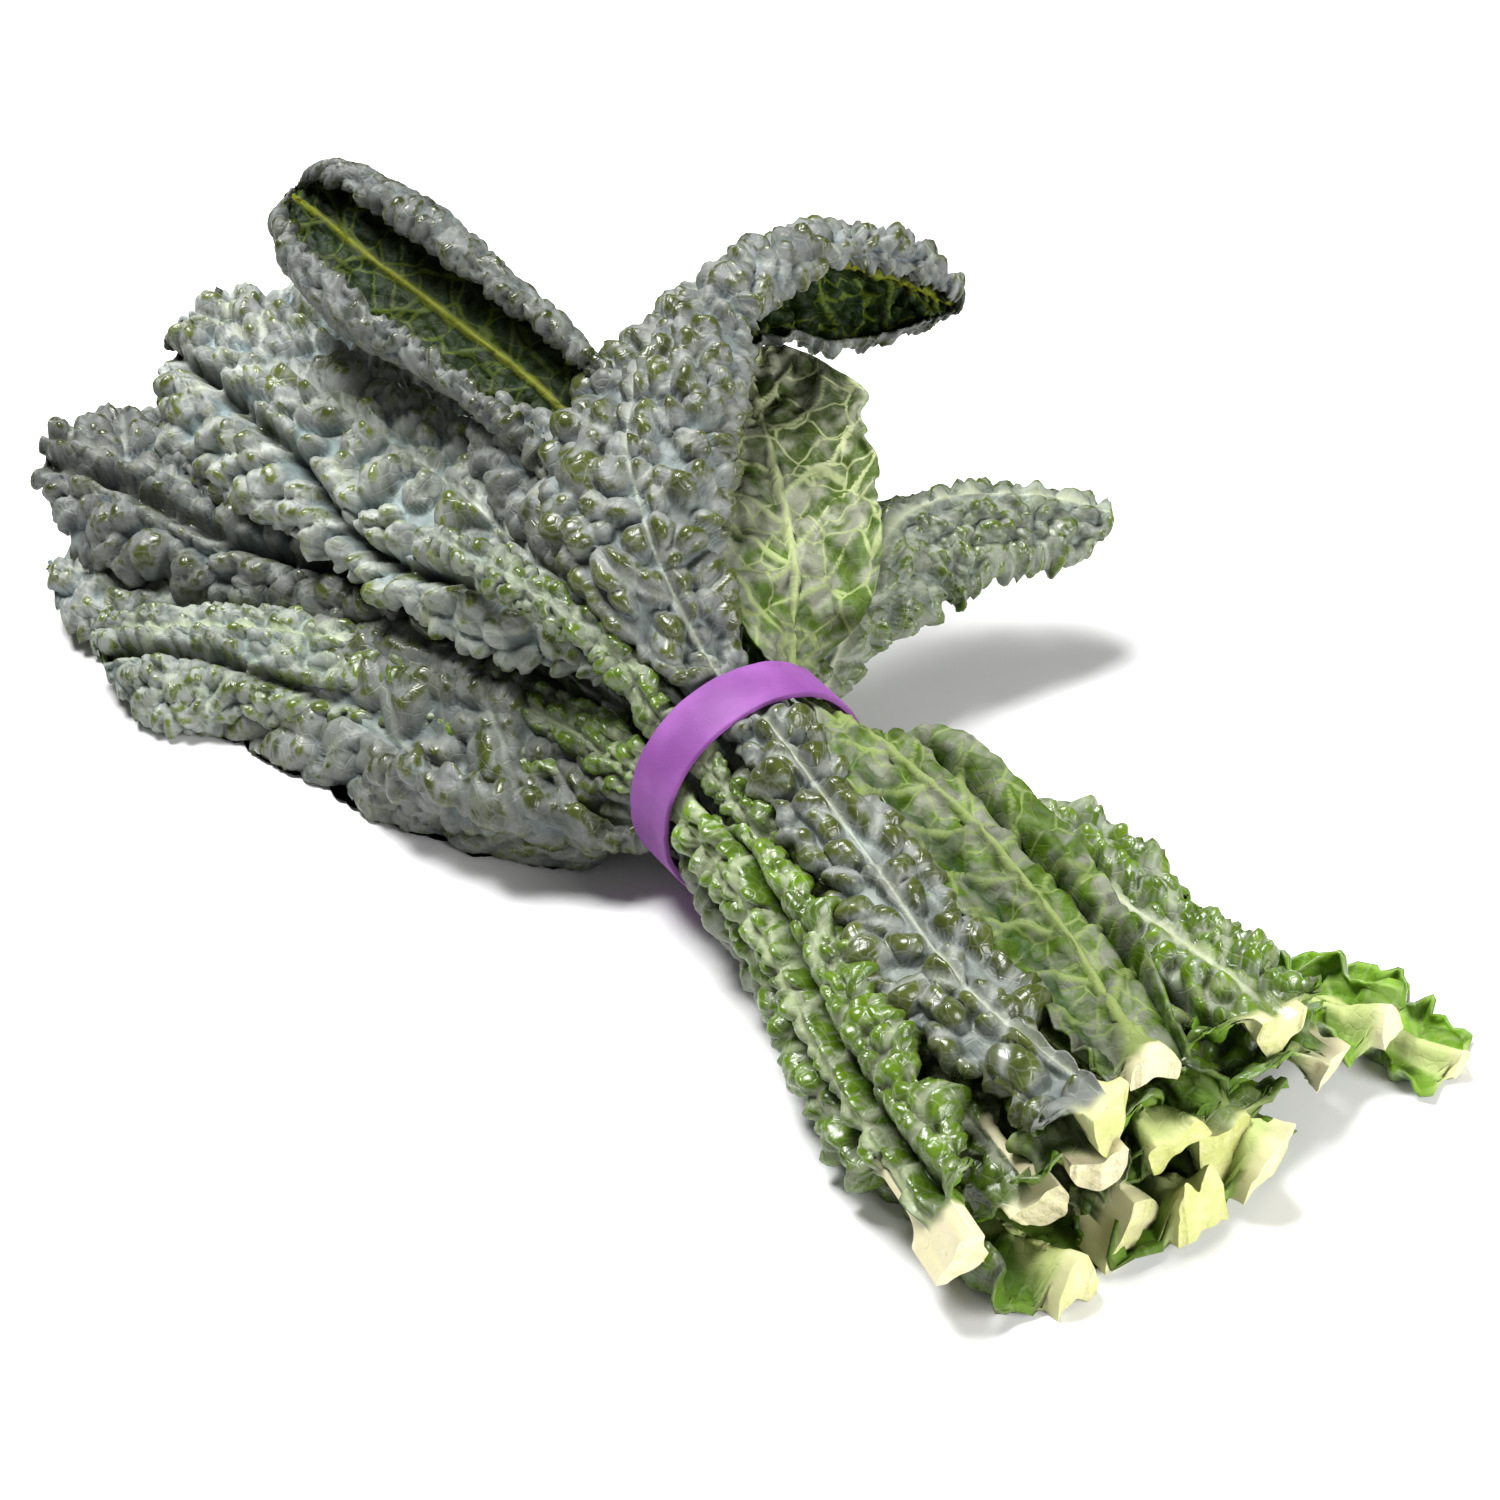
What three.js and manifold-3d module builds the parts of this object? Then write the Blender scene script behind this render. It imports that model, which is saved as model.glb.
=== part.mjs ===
// A tied bunch of long blistered kale leaves, lying on its side.
//
// Millimetres, +Z up. The stems point along +X, the leaf tips fan out along -X, and a flat
// rubber band holds the bunch at x = 0 of the bunch's own frame. The finished group is moved
// so that its origin is the bottom centre of the whole bunch.
//
// Every leaf is one solid: cut stem, midrib and blade grew together. A leaf is swept from
// its cut end to its tip through stations that were chosen by hand. The blade leaves the
// midrib at a small fold and rolls towards the underside at its margins, as kale does.

import * as THREE from 'three';
import { mergeVertices } from 'three/addons/utils/BufferGeometryUtils.js';
import Module from 'manifold-3d';

const wasm = await Module();
wasm.setup();

// ---------- driving dimensions ----------

const BAND_WIDTH = 12.7;          // half-inch produce band
const BAND_OUTER_RADIUS = 24;
const BAND_THICKNESS = 1.3;
const BAND_CENTRE_HEIGHT = 25.3;
const BAND_SEGMENTS = 48;

const WAIST_REACH = 8;            // the leaves run straight this far either side of the band's middle
const WAIST_FOLD = 4;             // degrees, fold at the midrib under the band
const CLEARANCE = 0.32;           // gap left where one leaf is trimmed by its neighbour
const UPWARDS = [0, 0, 1];        // what would dip below height 0 is pressed flat by the surface

const BLADE_THICKNESS = 1.6;
const STEM_DEPTH_AT_CUT = 9;      // midrib thickness, measured from the upper face
const STEM_DEPTH_AT_BAND = 6;
const STEM_DEPTH_MID_BLADE = 3;
const STEM_SPREAD_AT_CUT = 5;     // how far the thick midrib reaches to each side
const STEM_SPREAD_AT_TIP = 2;
const STEM_HALF_WIDTH = 5;        // the bare stem at the cut
const BARE_STEM_LENGTH = 9;
const TIP_LENGTH = 26;            // the blade rounds off over this length

const RINGS = 20;                 // cross-sections along a leaf
const SECTION = [-1, -0.75, -0.4, 0, 0.4, 0.75, 1];   // across a leaf, margin to margin
const ROLL_STEPS = 12;            // steps used to add up the rolled cross-section
const PATH_STEPS = 200;

const FINISHES = {
  blueGreen: { color: 0x66757a, roughness: 0.5, metalness: 0 },
  green: { color: 0x4f7a34, roughness: 0.45, metalness: 0 },
  paleGreen: { color: 0x8a9a6c, roughness: 0.55, metalness: 0 },
  darkGreen: { color: 0x35502a, roughness: 0.4, metalness: 0 },
  rubber: { color: 0x8a56a6, roughness: 0.45, metalness: 0 },
};

// ---------- the leaves ----------

// A station is [x, y, z, facing, pitch, halfWidth, fold, rollLeft, rollRight].
// facing and pitch turn the blade's upper face, in degrees: facing 90 looks up and 0 looks
// along +Y, and pitch leans it towards +X. halfWidth is midrib to margin along the blade.
// fold and the two rolls, in degrees, say how the blade bends towards its underside.
// waist is [angle round the band, radius, facing, halfWidth, roll].
// The order is the order of trimming: a leaf gives way to those before it.
const LEAVES = [
  {
    name: 'leaf_arched', finish: 'blueGreen', waist: [95, 21.6, 95, 10, 24],
    stemSide: [
      [124, -3, 35, 92, 0, 13, 15, 60, 50],
      [84, -6, 34, 94, 0, 15, 8, 75, 75],
      [42, -3, 40, 95, 0, 14, 8, 50, 50],
    ],
    tipSide: [
      [-22, -4, 60, 105, 25, 17, 5, 50, 60],
      [-33, -3, 72, 110, 20, 25, 5, 90, 90],
      [-51, 7, 82, 113, 0, 28, 5, 120, 120],
      [-72, 34, 89, 105, -35, 29, 5, 140, 150],
      [-79, 59, 88, 92, -64, 25, 5, 120, 150],
      [-76, 81, 79, 90, -70, 23, 5, 120, 150],
      [-69, 98, 68, 90, -72, 17, 5, 120, 150],
    ],
  },
  {
    name: 'leaf_narrow', finish: 'green', waist: [135, 21.6, 135, 4.3, 12],
    stemSide: [
      [122, -18, 17, 128, 0, 9, 15, 50, 50],
      [84, -15, 20, 128, 0, 10, 10, 60, 60],
      [44, -14, 30, 130, 0, 8, 10, 50, 50],
    ],
    tipSide: [
      [-24, -18, 51, 122, 10, 6.5, 10, 90, 90],
      [-42, -25, 57, 118, 5, 7.5, 10, 120, 120],
      [-59, -30, 58, 116, 0, 7.5, 10, 120, 120],
      [-71, -32, 57, 116, 0, 6, 10, 120, 120],
    ],
  },
  {
    name: 'leaf_green_left', finish: 'green', waist: [167, 21.6, 167, 7.4, 18],
    stemSide: [
      [126, -39, 17, 150, 0, 13, 15, 60, 60],
      [80, -33, 21, 152, 0, 18, 10, 55, 60],
      [42, -25, 27, 158, 0, 15, 10, 50, 60],
    ],
    tipSide: [
      [-32, -22, 26, 130, 0, 13, 5, 60, 50],
      [-59, -29, 24, 118, 0, 20, 5, 90, 50],
      [-87, -42, 22, 114, 0, 24, 5, 100, 60],
      [-109, -57, 19, 112, 0, 26, 5, 85, 65],
      [-125, -72, 15, 112, 0, 26, 5, 75, 70],
      [-134, -82, 12, 112, 0, 24, 5, 70, 70],
    ],
  },
  {
    name: 'leaf_small_blue', finish: 'blueGreen', waist: [10, 11, 60, 5.2, 20],
    stemSide: [
      [126, 23, 18, 80, 0, 8, 10, 20, 20],
      [85, 19, 20, 80, 0, 8, 10, 20, 20],
      [42, 10, 24, 80, 0, 6, 10, 20, 20],
    ],
    tipSide: [
      [-42, -6, 49, 108, 20, 7, 5, 20, 20],
      [-62, -14, 57, 112, 10, 10, 5, 30, 30],
      [-82, -18, 61, 114, 0, 11, 5, 40, 40],
      [-98, -16, 63, 114, 0, 10, 5, 40, 40],
    ],
  },
  {
    name: 'leaf_broad', finish: 'blueGreen', waist: [112, 11.5, 110, 5.2, 20],
    stemSide: [
      [127, -7, 26, 100, 0, 8, 10, 20, 20],
      [85, -3, 25, 100, 0, 6, 10, 20, 20],
      [42, -4, 30, 105, 0, 6, 10, 20, 20],
    ],
    tipSide: [
      [-35, -7, 44, 112, 10, 15, 5, 40, 50],
      [-58, -14, 50, 110, 5, 25, 5, 50, 80],
      [-95, -18, 53, 110, 0, 32, 5, 60, 90],
      [-130, -23, 53, 110, -3, 35, 5, 65, 95],
      [-160, -26, 52, 110, -6, 37, 5, 70, 85],
      [-184, -29, 49, 110, -10, 34, 5, 70, 80],
    ],
  },
  {
    name: 'leaf_cupped', finish: 'blueGreen', waist: [58, 11, -60, 5, 15],
    stemSide: [
      [127, 12, 17, -60, 0, 8, 10, 20, 20],
      [85, 9, 22, -60, 0, 7, 10, 20, 20],
      [42, 7, 30, -60, 0, 6, 10, 20, 20],
    ],
    tipSide: [
      [-39, 9, 50, -58, -8, 11, 5, 40, 40],
      [-76, 6, 67, -56, -11, 22, 5, 110, 110],
      [-108, -2, 76, -55, -11, 27, 5, 150, 150],
      [-132, -9, 82, -55, -11, 32, 5, 170, 170],
      [-150, -12, 85, -55, -11, 31, 5, 170, 170],
      [-160, -14, 86, -55, -11, 27, 5, 170, 170],
    ],
  },
  {
    name: 'leaf_pale', finish: 'paleGreen', waist: [43, 20.4, -137, 7, -18],
    stemSide: [
      [121, 9, 31, -95, 0, 9, 5, 20, 20],
      [84, 18.5, 32, -84, 0, 13, 0, 5, 5],
      [50, 20.5, 37, -84, 0, 15, 0, 0, 0],
      [24, 17, 41, -90, 0, 13, 0, 10, 10],
    ],
    tipSide: [
      [-20, 24, 54, -90, -6, 17, 0, 30, 30],
      [-40, 34, 58, -86, -6, 20, 0, 45, 45],
      [-60, 42, 63, -85, -6, 22, 0, 50, 50],
      [-79, 50, 68, -85, -6, 19, 0, 50, 50],
    ],
  },
  {
    name: 'leaf_drooping', finish: 'blueGreen', waist: [0, 21.6, 0, 7.8, 18],
    stemSide: [
      [118, 42, 30, 85, 0, 13, 10, 30, 30],
      [80, 39, 28, 95, 0, 20, 8, 50, 50],
      [42, 32, 29, 95, 0, 18, 8, 40, 40],
    ],
    tipSide: [
      [-22, 38, 33, 60, 30, 14, 30, 40, 15],
      [-28, 48, 39, 95, 26, 20, 38, 40, 15],
      [-37, 60, 43, 98, 10, 22, 38, 40, 20],
      [-39, 73, 44, 88, 3, 22, 38, 40, 20],
      [-37, 88, 41, 78, 6, 18, 38, 40, 20],
      [-33, 101, 37, 72, 10, 16, 38, 40, 20],
      [-28, 112, 32, 70, 12, 13.5, 35, 40, 20],
    ],
  },
  {
    name: 'leaf_outer_left', finish: 'blueGreen', waist: [160, 12, 155, 5.2, 20],
    stemSide: [
      [131, -5, 8, 150, 0, 8, 10, 20, 20],
      [85, -8, 13, 150, 0, 8, 10, 20, 20],
      [42, -8, 20, 155, 0, 7, 10, 20, 20],
    ],
    tipSide: [
      [-38, -13, 30, 130, 5, 11, 5, 30, 30],
      [-75, -19, 31, 112, 3, 17, 5, 40, 40],
      [-111, -30, 31, 108, 0, 21, 5, 60, 60],
      [-140, -45, 31, 108, -3, 26, 5, 80, 70],
      [-163, -57, 31, 108, -6, 28, 5, 80, 70],
      [-182, -68, 30, 108, -8, 26, 5, 80, 70],
    ],
  },
  {
    name: 'leaf_low_left', finish: 'blueGreen', waist: [202, 21.6, 202, 5.4, 14],
    stemSide: [
      [135, -17, 0, 262, 0, 9, 15, 20, 20],
      [90, -22, 0.5, 258, 0, 9, 10, 20, 20],
      [42, -21, 6, 235, 0, 8, 10, 20, 20],
    ],
    tipSide: [
      [-26, -30, 13, 155, 0, 17, 5, 60, 30],
      [-50, -42, 13, 140, 0, 23, 0, 80, 20],
      [-76, -49, 13, 132, 0, 24, 0, 85, 15],
      [-100, -56, 11, 128, 0, 22, 0, 85, 12],
      [-117, -65, 9, 124, 0, 19, 0, 80, 10],
      [-127, -72, 8, 120, 0, 15, 0, 70, 10],
    ],
  },
  {
    name: 'leaf_back_turned', finish: 'darkGreen', waist: [-40, 21.6, -40, 6.3, 16],
    stemSide: [
      [120, 55, 15, 70, 0, 13, 10, 30, 30],
      [80, 46, 18, 85, 0, 15, 8, 40, 40],
      [42, 36, 15, 70, 0, 13, 8, 40, 40],
    ],
    tipSide: [
      [-50, 26, 15, -60, 0, 13, 5, 30, 30],
      [-100, 30, 24, -78, 0, 18, 5, 40, 40],
      [-145, 22, 29, -82, -3, 21, 5, 50, 50],
      [-175, 13, 32, -82, -6, 22, 5, 50, 50],
      [-196, 7, 33, -82, -6, 20, 5, 50, 50],
    ],
  },
  {
    name: 'leaf_back_left', finish: 'blueGreen', waist: [290, 10, -80, 5.2, 10],
    stemSide: [
      [131, 28, 3, -95, 0, 9, 10, 20, 20],
      [85, 20, 2, -90, 0, 9, 10, 20, 20],
      [42, 9, 7, -80, 0, 7, 10, 20, 20],
    ],
    tipSide: [
      [-50, 6, 17, -20, 0, 12, 5, 30, 30],
      [-100, 2, 22, 60, 0, 18, 5, 40, 40],
      [-150, -26, 23, 100, 5, 21, 5, 50, 50],
      [-176, -39, 22, 108, 0, 20, 5, 60, 60],
      [-190, -45, 21, 108, 0, 17, 5, 60, 60],
    ],
  },
  {
    name: 'leaf_under_left', finish: 'darkGreen', waist: [-103, 21.6, -103, 4.8, 12],
    stemSide: [
      [118, 71, 10, -80, 0, 10, 10, 20, 20],
      [80, 53, 5, -88, 0, 9, 5, 15, 15],
      [42, 23, 4, -95, 0, 8, 5, 10, 10],
    ],
    tipSide: [
      [-50, -10, 5, -20, 0, 11, 5, 10, 10],
      [-95, -26, 8, 60, 0, 16, 5, 30, 30],
      [-135, -58, 12, 105, 0, 21, 5, 60, 60],
      [-152, -72, 13, 110, 0, 21, 5, 70, 70],
      [-161, -80, 13, 110, 0, 18, 5, 70, 70],
    ],
  },
  {
    name: 'leaf_flat_under', finish: 'darkGreen', waist: [-74, 21.6, -74, 5.4, 12],
    stemSide: [
      [125, 82, 0.5, -90, 0, 11, 5, 25, 25],
      [84, 67, 0.5, -90, 0, 8, 0, 5, 5],
      [42, 38, 0.5, -92, 0, 8, 0, 5, 5],
    ],
    tipSide: [
      [-50, 13, 1, -90, 0, 11, 0, 5, 5],
      [-90, 22, 0.5, -90, 0, 15, 0, 8, 8],
      [-130, 24, 0, -90, 0, 16, 0, 10, 10],
      [-160, 22, 0, -90, 0, 13, 0, 10, 10],
    ],
  },
  {
    name: 'leaf_low_front', finish: 'blueGreen', waist: [231, 21.6, 231, 4.8, 12],
    stemSide: [
      [134, 13, 2, 268, 0, 8, 10, 20, 20],
      [88, 4, 1.5, 268, 0, 8, 8, 15, 15],
      [42, -7, 2, 262, 0, 7, 5, 12, 12],
    ],
    tipSide: [
      [-20, -28, 9, 225, 0, 13, 5, 50, 50],
      [-33, -41, 9, 215, 0, 16, 5, 60, 60],
      [-47, -50, 9, 210, 0, 16, 5, 60, 60],
      [-61, -55, 8, 208, 0, 13, 5, 60, 60],
    ],
  },
];

// ---------- sweeping one leaf ----------

// The two stations that carry a leaf straight through the band.
function waistStations([angle, radius, facing, halfWidth, roll]) {
  const turn = THREE.MathUtils.degToRad(angle);
  const y = radius * Math.cos(turn);
  const z = BAND_CENTRE_HEIGHT + radius * Math.sin(turn);
  return [WAIST_REACH, -WAIST_REACH].map(
    (x) => [x, y, z, facing, 0, halfWidth, WAIST_FOLD, roll, roll],
  );
}

// Smooth curves through the stations: the midrib, how the blade faces, and how it rolls.
function leafCurves(leaf) {
  const stations = [...leaf.stemSide, ...waistStations(leaf.waist), ...leaf.tipSide];
  const through = (first) => new THREE.CatmullRomCurve3(
    stations.map((row) => new THREE.Vector3(...row.slice(first, first + 3))),
    false,
    'catmullrom',
  );
  return { midrib: through(0), face: through(3), bend: through(6) };
}

// Lengths along the midrib at evenly spaced curve parameters.
function midribLengths(midrib) {
  const lengths = [0];
  let last = midrib.getPoint(0);
  for (let step = 1; step <= PATH_STEPS; step += 1) {
    const point = midrib.getPoint(step / PATH_STEPS);
    lengths.push(lengths[step - 1] + point.distanceTo(last));
    last = point;
  }
  return lengths;
}

function parameterAtLength(lengths, wanted) {
  let step = 1;
  while (step < PATH_STEPS && lengths[step] < wanted) {
    step += 1;
  }
  const part = (wanted - lengths[step - 1]) / (lengths[step] - lengths[step - 1]);
  return (step - 1 + part) / PATH_STEPS;
}

// Where along the leaf the cross-sections lie: one at the end of the bare stem, and two
// extra ones that round off the tip.
function ringLengths(total) {
  const start = BARE_STEM_LENGTH * 1.2;
  const end = total - TIP_LENGTH;
  const middle = RINGS - 5;
  const lengths = [0, BARE_STEM_LENGTH * 0.6];
  for (let i = 0; i < middle; i += 1) {
    lengths.push(THREE.MathUtils.lerp(start, end, i / (middle - 1)));
  }
  return [...lengths, total - TIP_LENGTH * 0.55, total - TIP_LENGTH * 0.2, total];
}

// How deep the midrib is: thick at the cut, thinner in the band, and fading to the tip.
function stemDepth(length, bandLength, total) {
  if (length < bandLength) {
    return THREE.MathUtils.mapLinear(length, 0, bandLength, STEM_DEPTH_AT_CUT, STEM_DEPTH_AT_BAND);
  }
  const half = (bandLength + total) / 2;
  if (length < half) {
    return THREE.MathUtils.mapLinear(length, bandLength, half, STEM_DEPTH_AT_BAND, STEM_DEPTH_MID_BLADE);
  }
  return THREE.MathUtils.mapLinear(length, half, total, STEM_DEPTH_MID_BLADE, BLADE_THICKNESS);
}

// Half width of the blade, narrowed to the bare stem at the cut and rounded at the tip.
function bladeHalfWidth(width, length, total) {
  const bare = THREE.MathUtils.smoothstep(length, 0, BARE_STEM_LENGTH);
  const pastTipStart = THREE.MathUtils.clamp((length - total + TIP_LENGTH) / TIP_LENGTH, 0, 0.96);
  const rounded = width * Math.sqrt(1 - pastTipStart * pastTipStart);
  return THREE.MathUtils.lerp(STEM_HALF_WIDTH, rounded, bare);
}

// A point of the rolled cross-section: sideways, down, and the blade's heading there.
function rolledPoint(across, halfWidth, fold, roll) {
  const step = Math.abs(across) / ROLL_STEPS;
  let side = 0;
  let drop = 0;
  for (let i = 0; i < ROLL_STEPS; i += 1) {
    const middle = (i + 0.5) * step;
    const heading = THREE.MathUtils.degToRad(fold + roll * middle * middle);
    side += Math.cos(heading) * step * halfWidth;
    drop += Math.sin(heading) * step * halfWidth;
  }
  return { side, drop, heading: THREE.MathUtils.degToRad(fold + roll * across * across) };
}

// The blade's own axes at a point of the midrib.
function bladeAxes(midrib, parameter, facing, pitch) {
  const along = midrib.getTangent(parameter);
  const turn = THREE.MathUtils.degToRad(facing);
  const lean = THREE.MathUtils.degToRad(pitch);
  const up = new THREE.Vector3(
    Math.sin(lean),
    Math.cos(lean) * Math.cos(turn),
    Math.cos(lean) * Math.sin(turn),
  );
  up.addScaledVector(along, -up.dot(along)).normalize();
  const right = new THREE.Vector3().crossVectors(along, up);
  return { along, up, right };
}

// One closed cross-section, upper face from left margin to right, then underside back.
// grow makes the section fatter on every side.
function leafRing(curves, parameter, length, bandLength, total, grow) {
  const centre = curves.midrib.getPoint(parameter);
  const face = curves.face.getPoint(parameter);
  const bend = curves.bend.getPoint(parameter);
  const { up, right } = bladeAxes(curves.midrib, parameter, face.x, face.y);
  const halfWidth = bladeHalfWidth(face.z, length, total) + grow;
  const depth = stemDepth(length, bandLength, total) - BLADE_THICKNESS;
  const spread = THREE.MathUtils.lerp(STEM_SPREAD_AT_CUT, STEM_SPREAD_AT_TIP, length / total);
  const upper = [];
  const under = [];
  for (const across of SECTION) {
    const sign = across < 0 ? -1 : 1;
    const roll = across < 0 ? bend.y : bend.z;
    const { side, drop, heading } = rolledPoint(across, halfWidth, bend.x, roll);
    const point = centre.clone().addScaledVector(right, sign * side).addScaledVector(up, -drop);
    const normal = up.clone().multiplyScalar(Math.cos(heading));
    normal.addScaledVector(right, sign * Math.sin(heading));
    const fromMidrib = across * halfWidth / spread;
    const thickness = BLADE_THICKNESS + depth * Math.exp(-fromMidrib * fromMidrib);
    upper.push(point.clone().addScaledVector(normal, grow));
    under.push(point.clone().addScaledVector(normal, -thickness - grow));
  }
  return [...upper, ...under.reverse()];
}

// The triangles that join the rings and close both ends.
function leafFaces(ringCount, ringSize) {
  const faces = [];
  for (let ring = 0; ring < ringCount - 1; ring += 1) {
    for (let i = 0; i < ringSize; i += 1) {
      const a = ring * ringSize + i;
      const b = ring * ringSize + (i + 1) % ringSize;
      faces.push(a, b, b + ringSize, a, b + ringSize, a + ringSize);
    }
  }
  const last = (ringCount - 1) * ringSize;
  for (let i = 0; i < SECTION.length - 1; i += 1) {
    const upper = i;
    const under = ringSize - 1 - i;
    faces.push(upper, under - 1, upper + 1, upper, under, under - 1);
    faces.push(last + upper, last + upper + 1, last + under - 1);
    faces.push(last + upper, last + under - 1, last + under);
  }
  return faces;
}

function leafGeometry(leaf, grow) {
  const curves = leafCurves(leaf);
  const lengths = midribLengths(curves.midrib);
  const total = lengths[PATH_STEPS];
  const stationCount = leaf.stemSide.length + 2 + leaf.tipSide.length;
  const bandParameter = (leaf.stemSide.length + 0.5) / (stationCount - 1);
  const bandLength = lengths[Math.round(bandParameter * PATH_STEPS)];
  const rings = ringLengths(total).map((length) => leafRing(
    curves,
    parameterAtLength(lengths, length),
    length,
    bandLength,
    total,
    grow,
  ));
  const endShift = grow * 1.5;
  const startAlong = curves.midrib.getTangent(0);
  const endAlong = curves.midrib.getTangent(1);
  rings[0].forEach((point) => point.addScaledVector(startAlong, -endShift));
  rings[rings.length - 1].forEach((point) => point.addScaledVector(endAlong, endShift));
  const geometry = new THREE.BufferGeometry();
  const positions = rings.flat().flatMap((point) => [point.x, point.y, point.z]);
  geometry.setAttribute('position', new THREE.Float32BufferAttribute(positions, 3));
  geometry.setIndex(leafFaces(rings.length, rings[0].length));
  return geometry;
}

// ---------- the rubber band ----------

// A flat ring round the X axis. grow makes its section fatter on every side.
function bandGeometry(grow) {
  const outer = BAND_OUTER_RADIUS + grow;
  const inner = BAND_OUTER_RADIUS - BAND_THICKNESS - grow;
  const reach = BAND_WIDTH / 2 + grow;
  const profile = [
    new THREE.Vector2(inner, -reach),
    new THREE.Vector2(outer, -reach),
    new THREE.Vector2(outer, reach),
    new THREE.Vector2(inner, reach),
    new THREE.Vector2(inner, -reach),
  ];
  const geometry = new THREE.LatheGeometry(profile, BAND_SEGMENTS);
  geometry.rotateZ(Math.PI / 2);
  geometry.translate(0, 0, BAND_CENTRE_HEIGHT);
  geometry.deleteAttribute('normal');
  geometry.deleteAttribute('uv');
  return mergeVertices(geometry);
}

// ---------- trimming where leaves press on each other ----------

function toSolid(geometry) {
  return new wasm.Manifold(new wasm.Mesh({
    numProp: 3,
    vertProperties: new Float32Array(geometry.attributes.position.array),
    triVerts: new Uint32Array(geometry.index.array),
  }));
}

function toGeometry(solid) {
  const mesh = solid.getMesh();
  const geometry = new THREE.BufferGeometry();
  geometry.setAttribute('position', new THREE.BufferAttribute(mesh.vertProperties, 3));
  geometry.setIndex(new THREE.BufferAttribute(mesh.triVerts, 1));
  return geometry;
}

// The largest piece that is left after a cut.
function largestPiece(solid) {
  const pieces = solid.decompose();
  return pieces.reduce((best, piece) => (piece.volume() > best.volume() ? piece : best));
}

// ---------- the bunch ----------

function addPiece(group, name, finish, geometry) {
  geometry.computeVertexNormals();
  const mesh = new THREE.Mesh(geometry, new THREE.MeshStandardMaterial(FINISHES[finish]));
  mesh.name = name;
  group.add(mesh);
}

const bunch = new THREE.Group();
const keepClear = [toSolid(bandGeometry(CLEARANCE))];
addPiece(bunch, 'rubber_band', 'rubber', bandGeometry(0));
for (const leaf of LEAVES) {
  const whole = toSolid(leafGeometry(leaf, 0)).trimByPlane(UPWARDS, 0);
  const trimmed = keepClear.reduce((solid, neighbour) => solid.subtract(neighbour), whole);
  addPiece(bunch, leaf.name, leaf.finish, toGeometry(largestPiece(trimmed)));
  keepClear.push(toSolid(leafGeometry(leaf, CLEARANCE)).add(whole));
}

// The origin is the bottom centre of the whole bunch.
const box = new THREE.Box3().setFromObject(bunch);
const middle = box.getCenter(new THREE.Vector3());
bunch.position.set(-middle.x, -middle.y, -box.min.z);
bunch.updateMatrixWorld(true);

export default bunch;
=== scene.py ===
"""The look of a tied bunch of long blistered kale leaves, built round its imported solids."""

import logging
import math
from dataclasses import dataclass, field
from enum import Enum

import bpy
import numpy as np
from bpy.types import Material, Mesh, NodeSocket, Object
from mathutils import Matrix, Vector


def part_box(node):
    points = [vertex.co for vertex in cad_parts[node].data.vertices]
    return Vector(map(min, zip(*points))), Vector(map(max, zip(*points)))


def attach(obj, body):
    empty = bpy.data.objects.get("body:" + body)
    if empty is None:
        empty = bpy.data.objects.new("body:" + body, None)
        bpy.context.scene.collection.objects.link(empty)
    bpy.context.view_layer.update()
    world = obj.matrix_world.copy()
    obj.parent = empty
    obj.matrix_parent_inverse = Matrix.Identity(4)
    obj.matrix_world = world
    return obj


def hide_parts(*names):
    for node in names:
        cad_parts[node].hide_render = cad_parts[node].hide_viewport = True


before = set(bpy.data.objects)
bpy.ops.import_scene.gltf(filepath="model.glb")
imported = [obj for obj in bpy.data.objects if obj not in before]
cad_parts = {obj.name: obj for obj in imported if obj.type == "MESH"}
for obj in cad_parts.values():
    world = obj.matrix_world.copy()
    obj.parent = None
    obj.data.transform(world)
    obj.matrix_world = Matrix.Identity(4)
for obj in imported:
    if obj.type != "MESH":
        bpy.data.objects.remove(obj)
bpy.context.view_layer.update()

LOG = logging.getLogger("kale")

MM = 0.001
BODY = "root"

# The bunch's own frame is in millimetres. x runs from the middle of the band towards the cut
# stems and z runs up from the surface. The leaves run straight for WAIST_REACH on each side of
# the band, folded by WAIST_FOLD degrees, and keep GROUND_GAP clear of the surface.
BAND_CENTRE_HEIGHT = 25.3
WAIST_REACH = 8.0
WAIST_FOLD = 4.0
GROUND_GAP = 0.1

Station = tuple[float, ...]
Colour = tuple[float, float, float]


# ---------- small tools for surfaces ----------


def smooth_step(values: np.ndarray, low: float, high: float) -> np.ndarray:
    """Rises smoothly from 0 at low to 1 at high."""
    part = np.clip((values - low) / (high - low), 0.0, 1.0)
    return part * part * (3.0 - 2.0 * part)


def catmull_rom(stations: np.ndarray, where: np.ndarray) -> np.ndarray:
    """A smooth curve through rows of numbers.

    Args:
        stations: One row for each station.
        where: Places along the curve, from 0 to 1.

    Returns:
        One row for each place.
    """
    ends = (2 * stations[0] - stations[1], 2 * stations[-1] - stations[-2])
    rows = np.vstack([ends[0], stations, ends[1]])
    place = where * (len(stations) - 1)
    first = np.clip(np.floor(place).astype(int), 0, len(stations) - 2)
    t = (place - first)[:, None]
    p0, p1, p2, p3 = (rows[first + k] for k in range(4))
    cubic = -p0 + 3 * p1 - 3 * p2 + p3
    square = 2 * p0 - 5 * p1 + 4 * p2 - p3
    return 0.5 * (2 * p1 + (p2 - p0) * t + square * t**2 + cubic * t**3)


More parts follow.
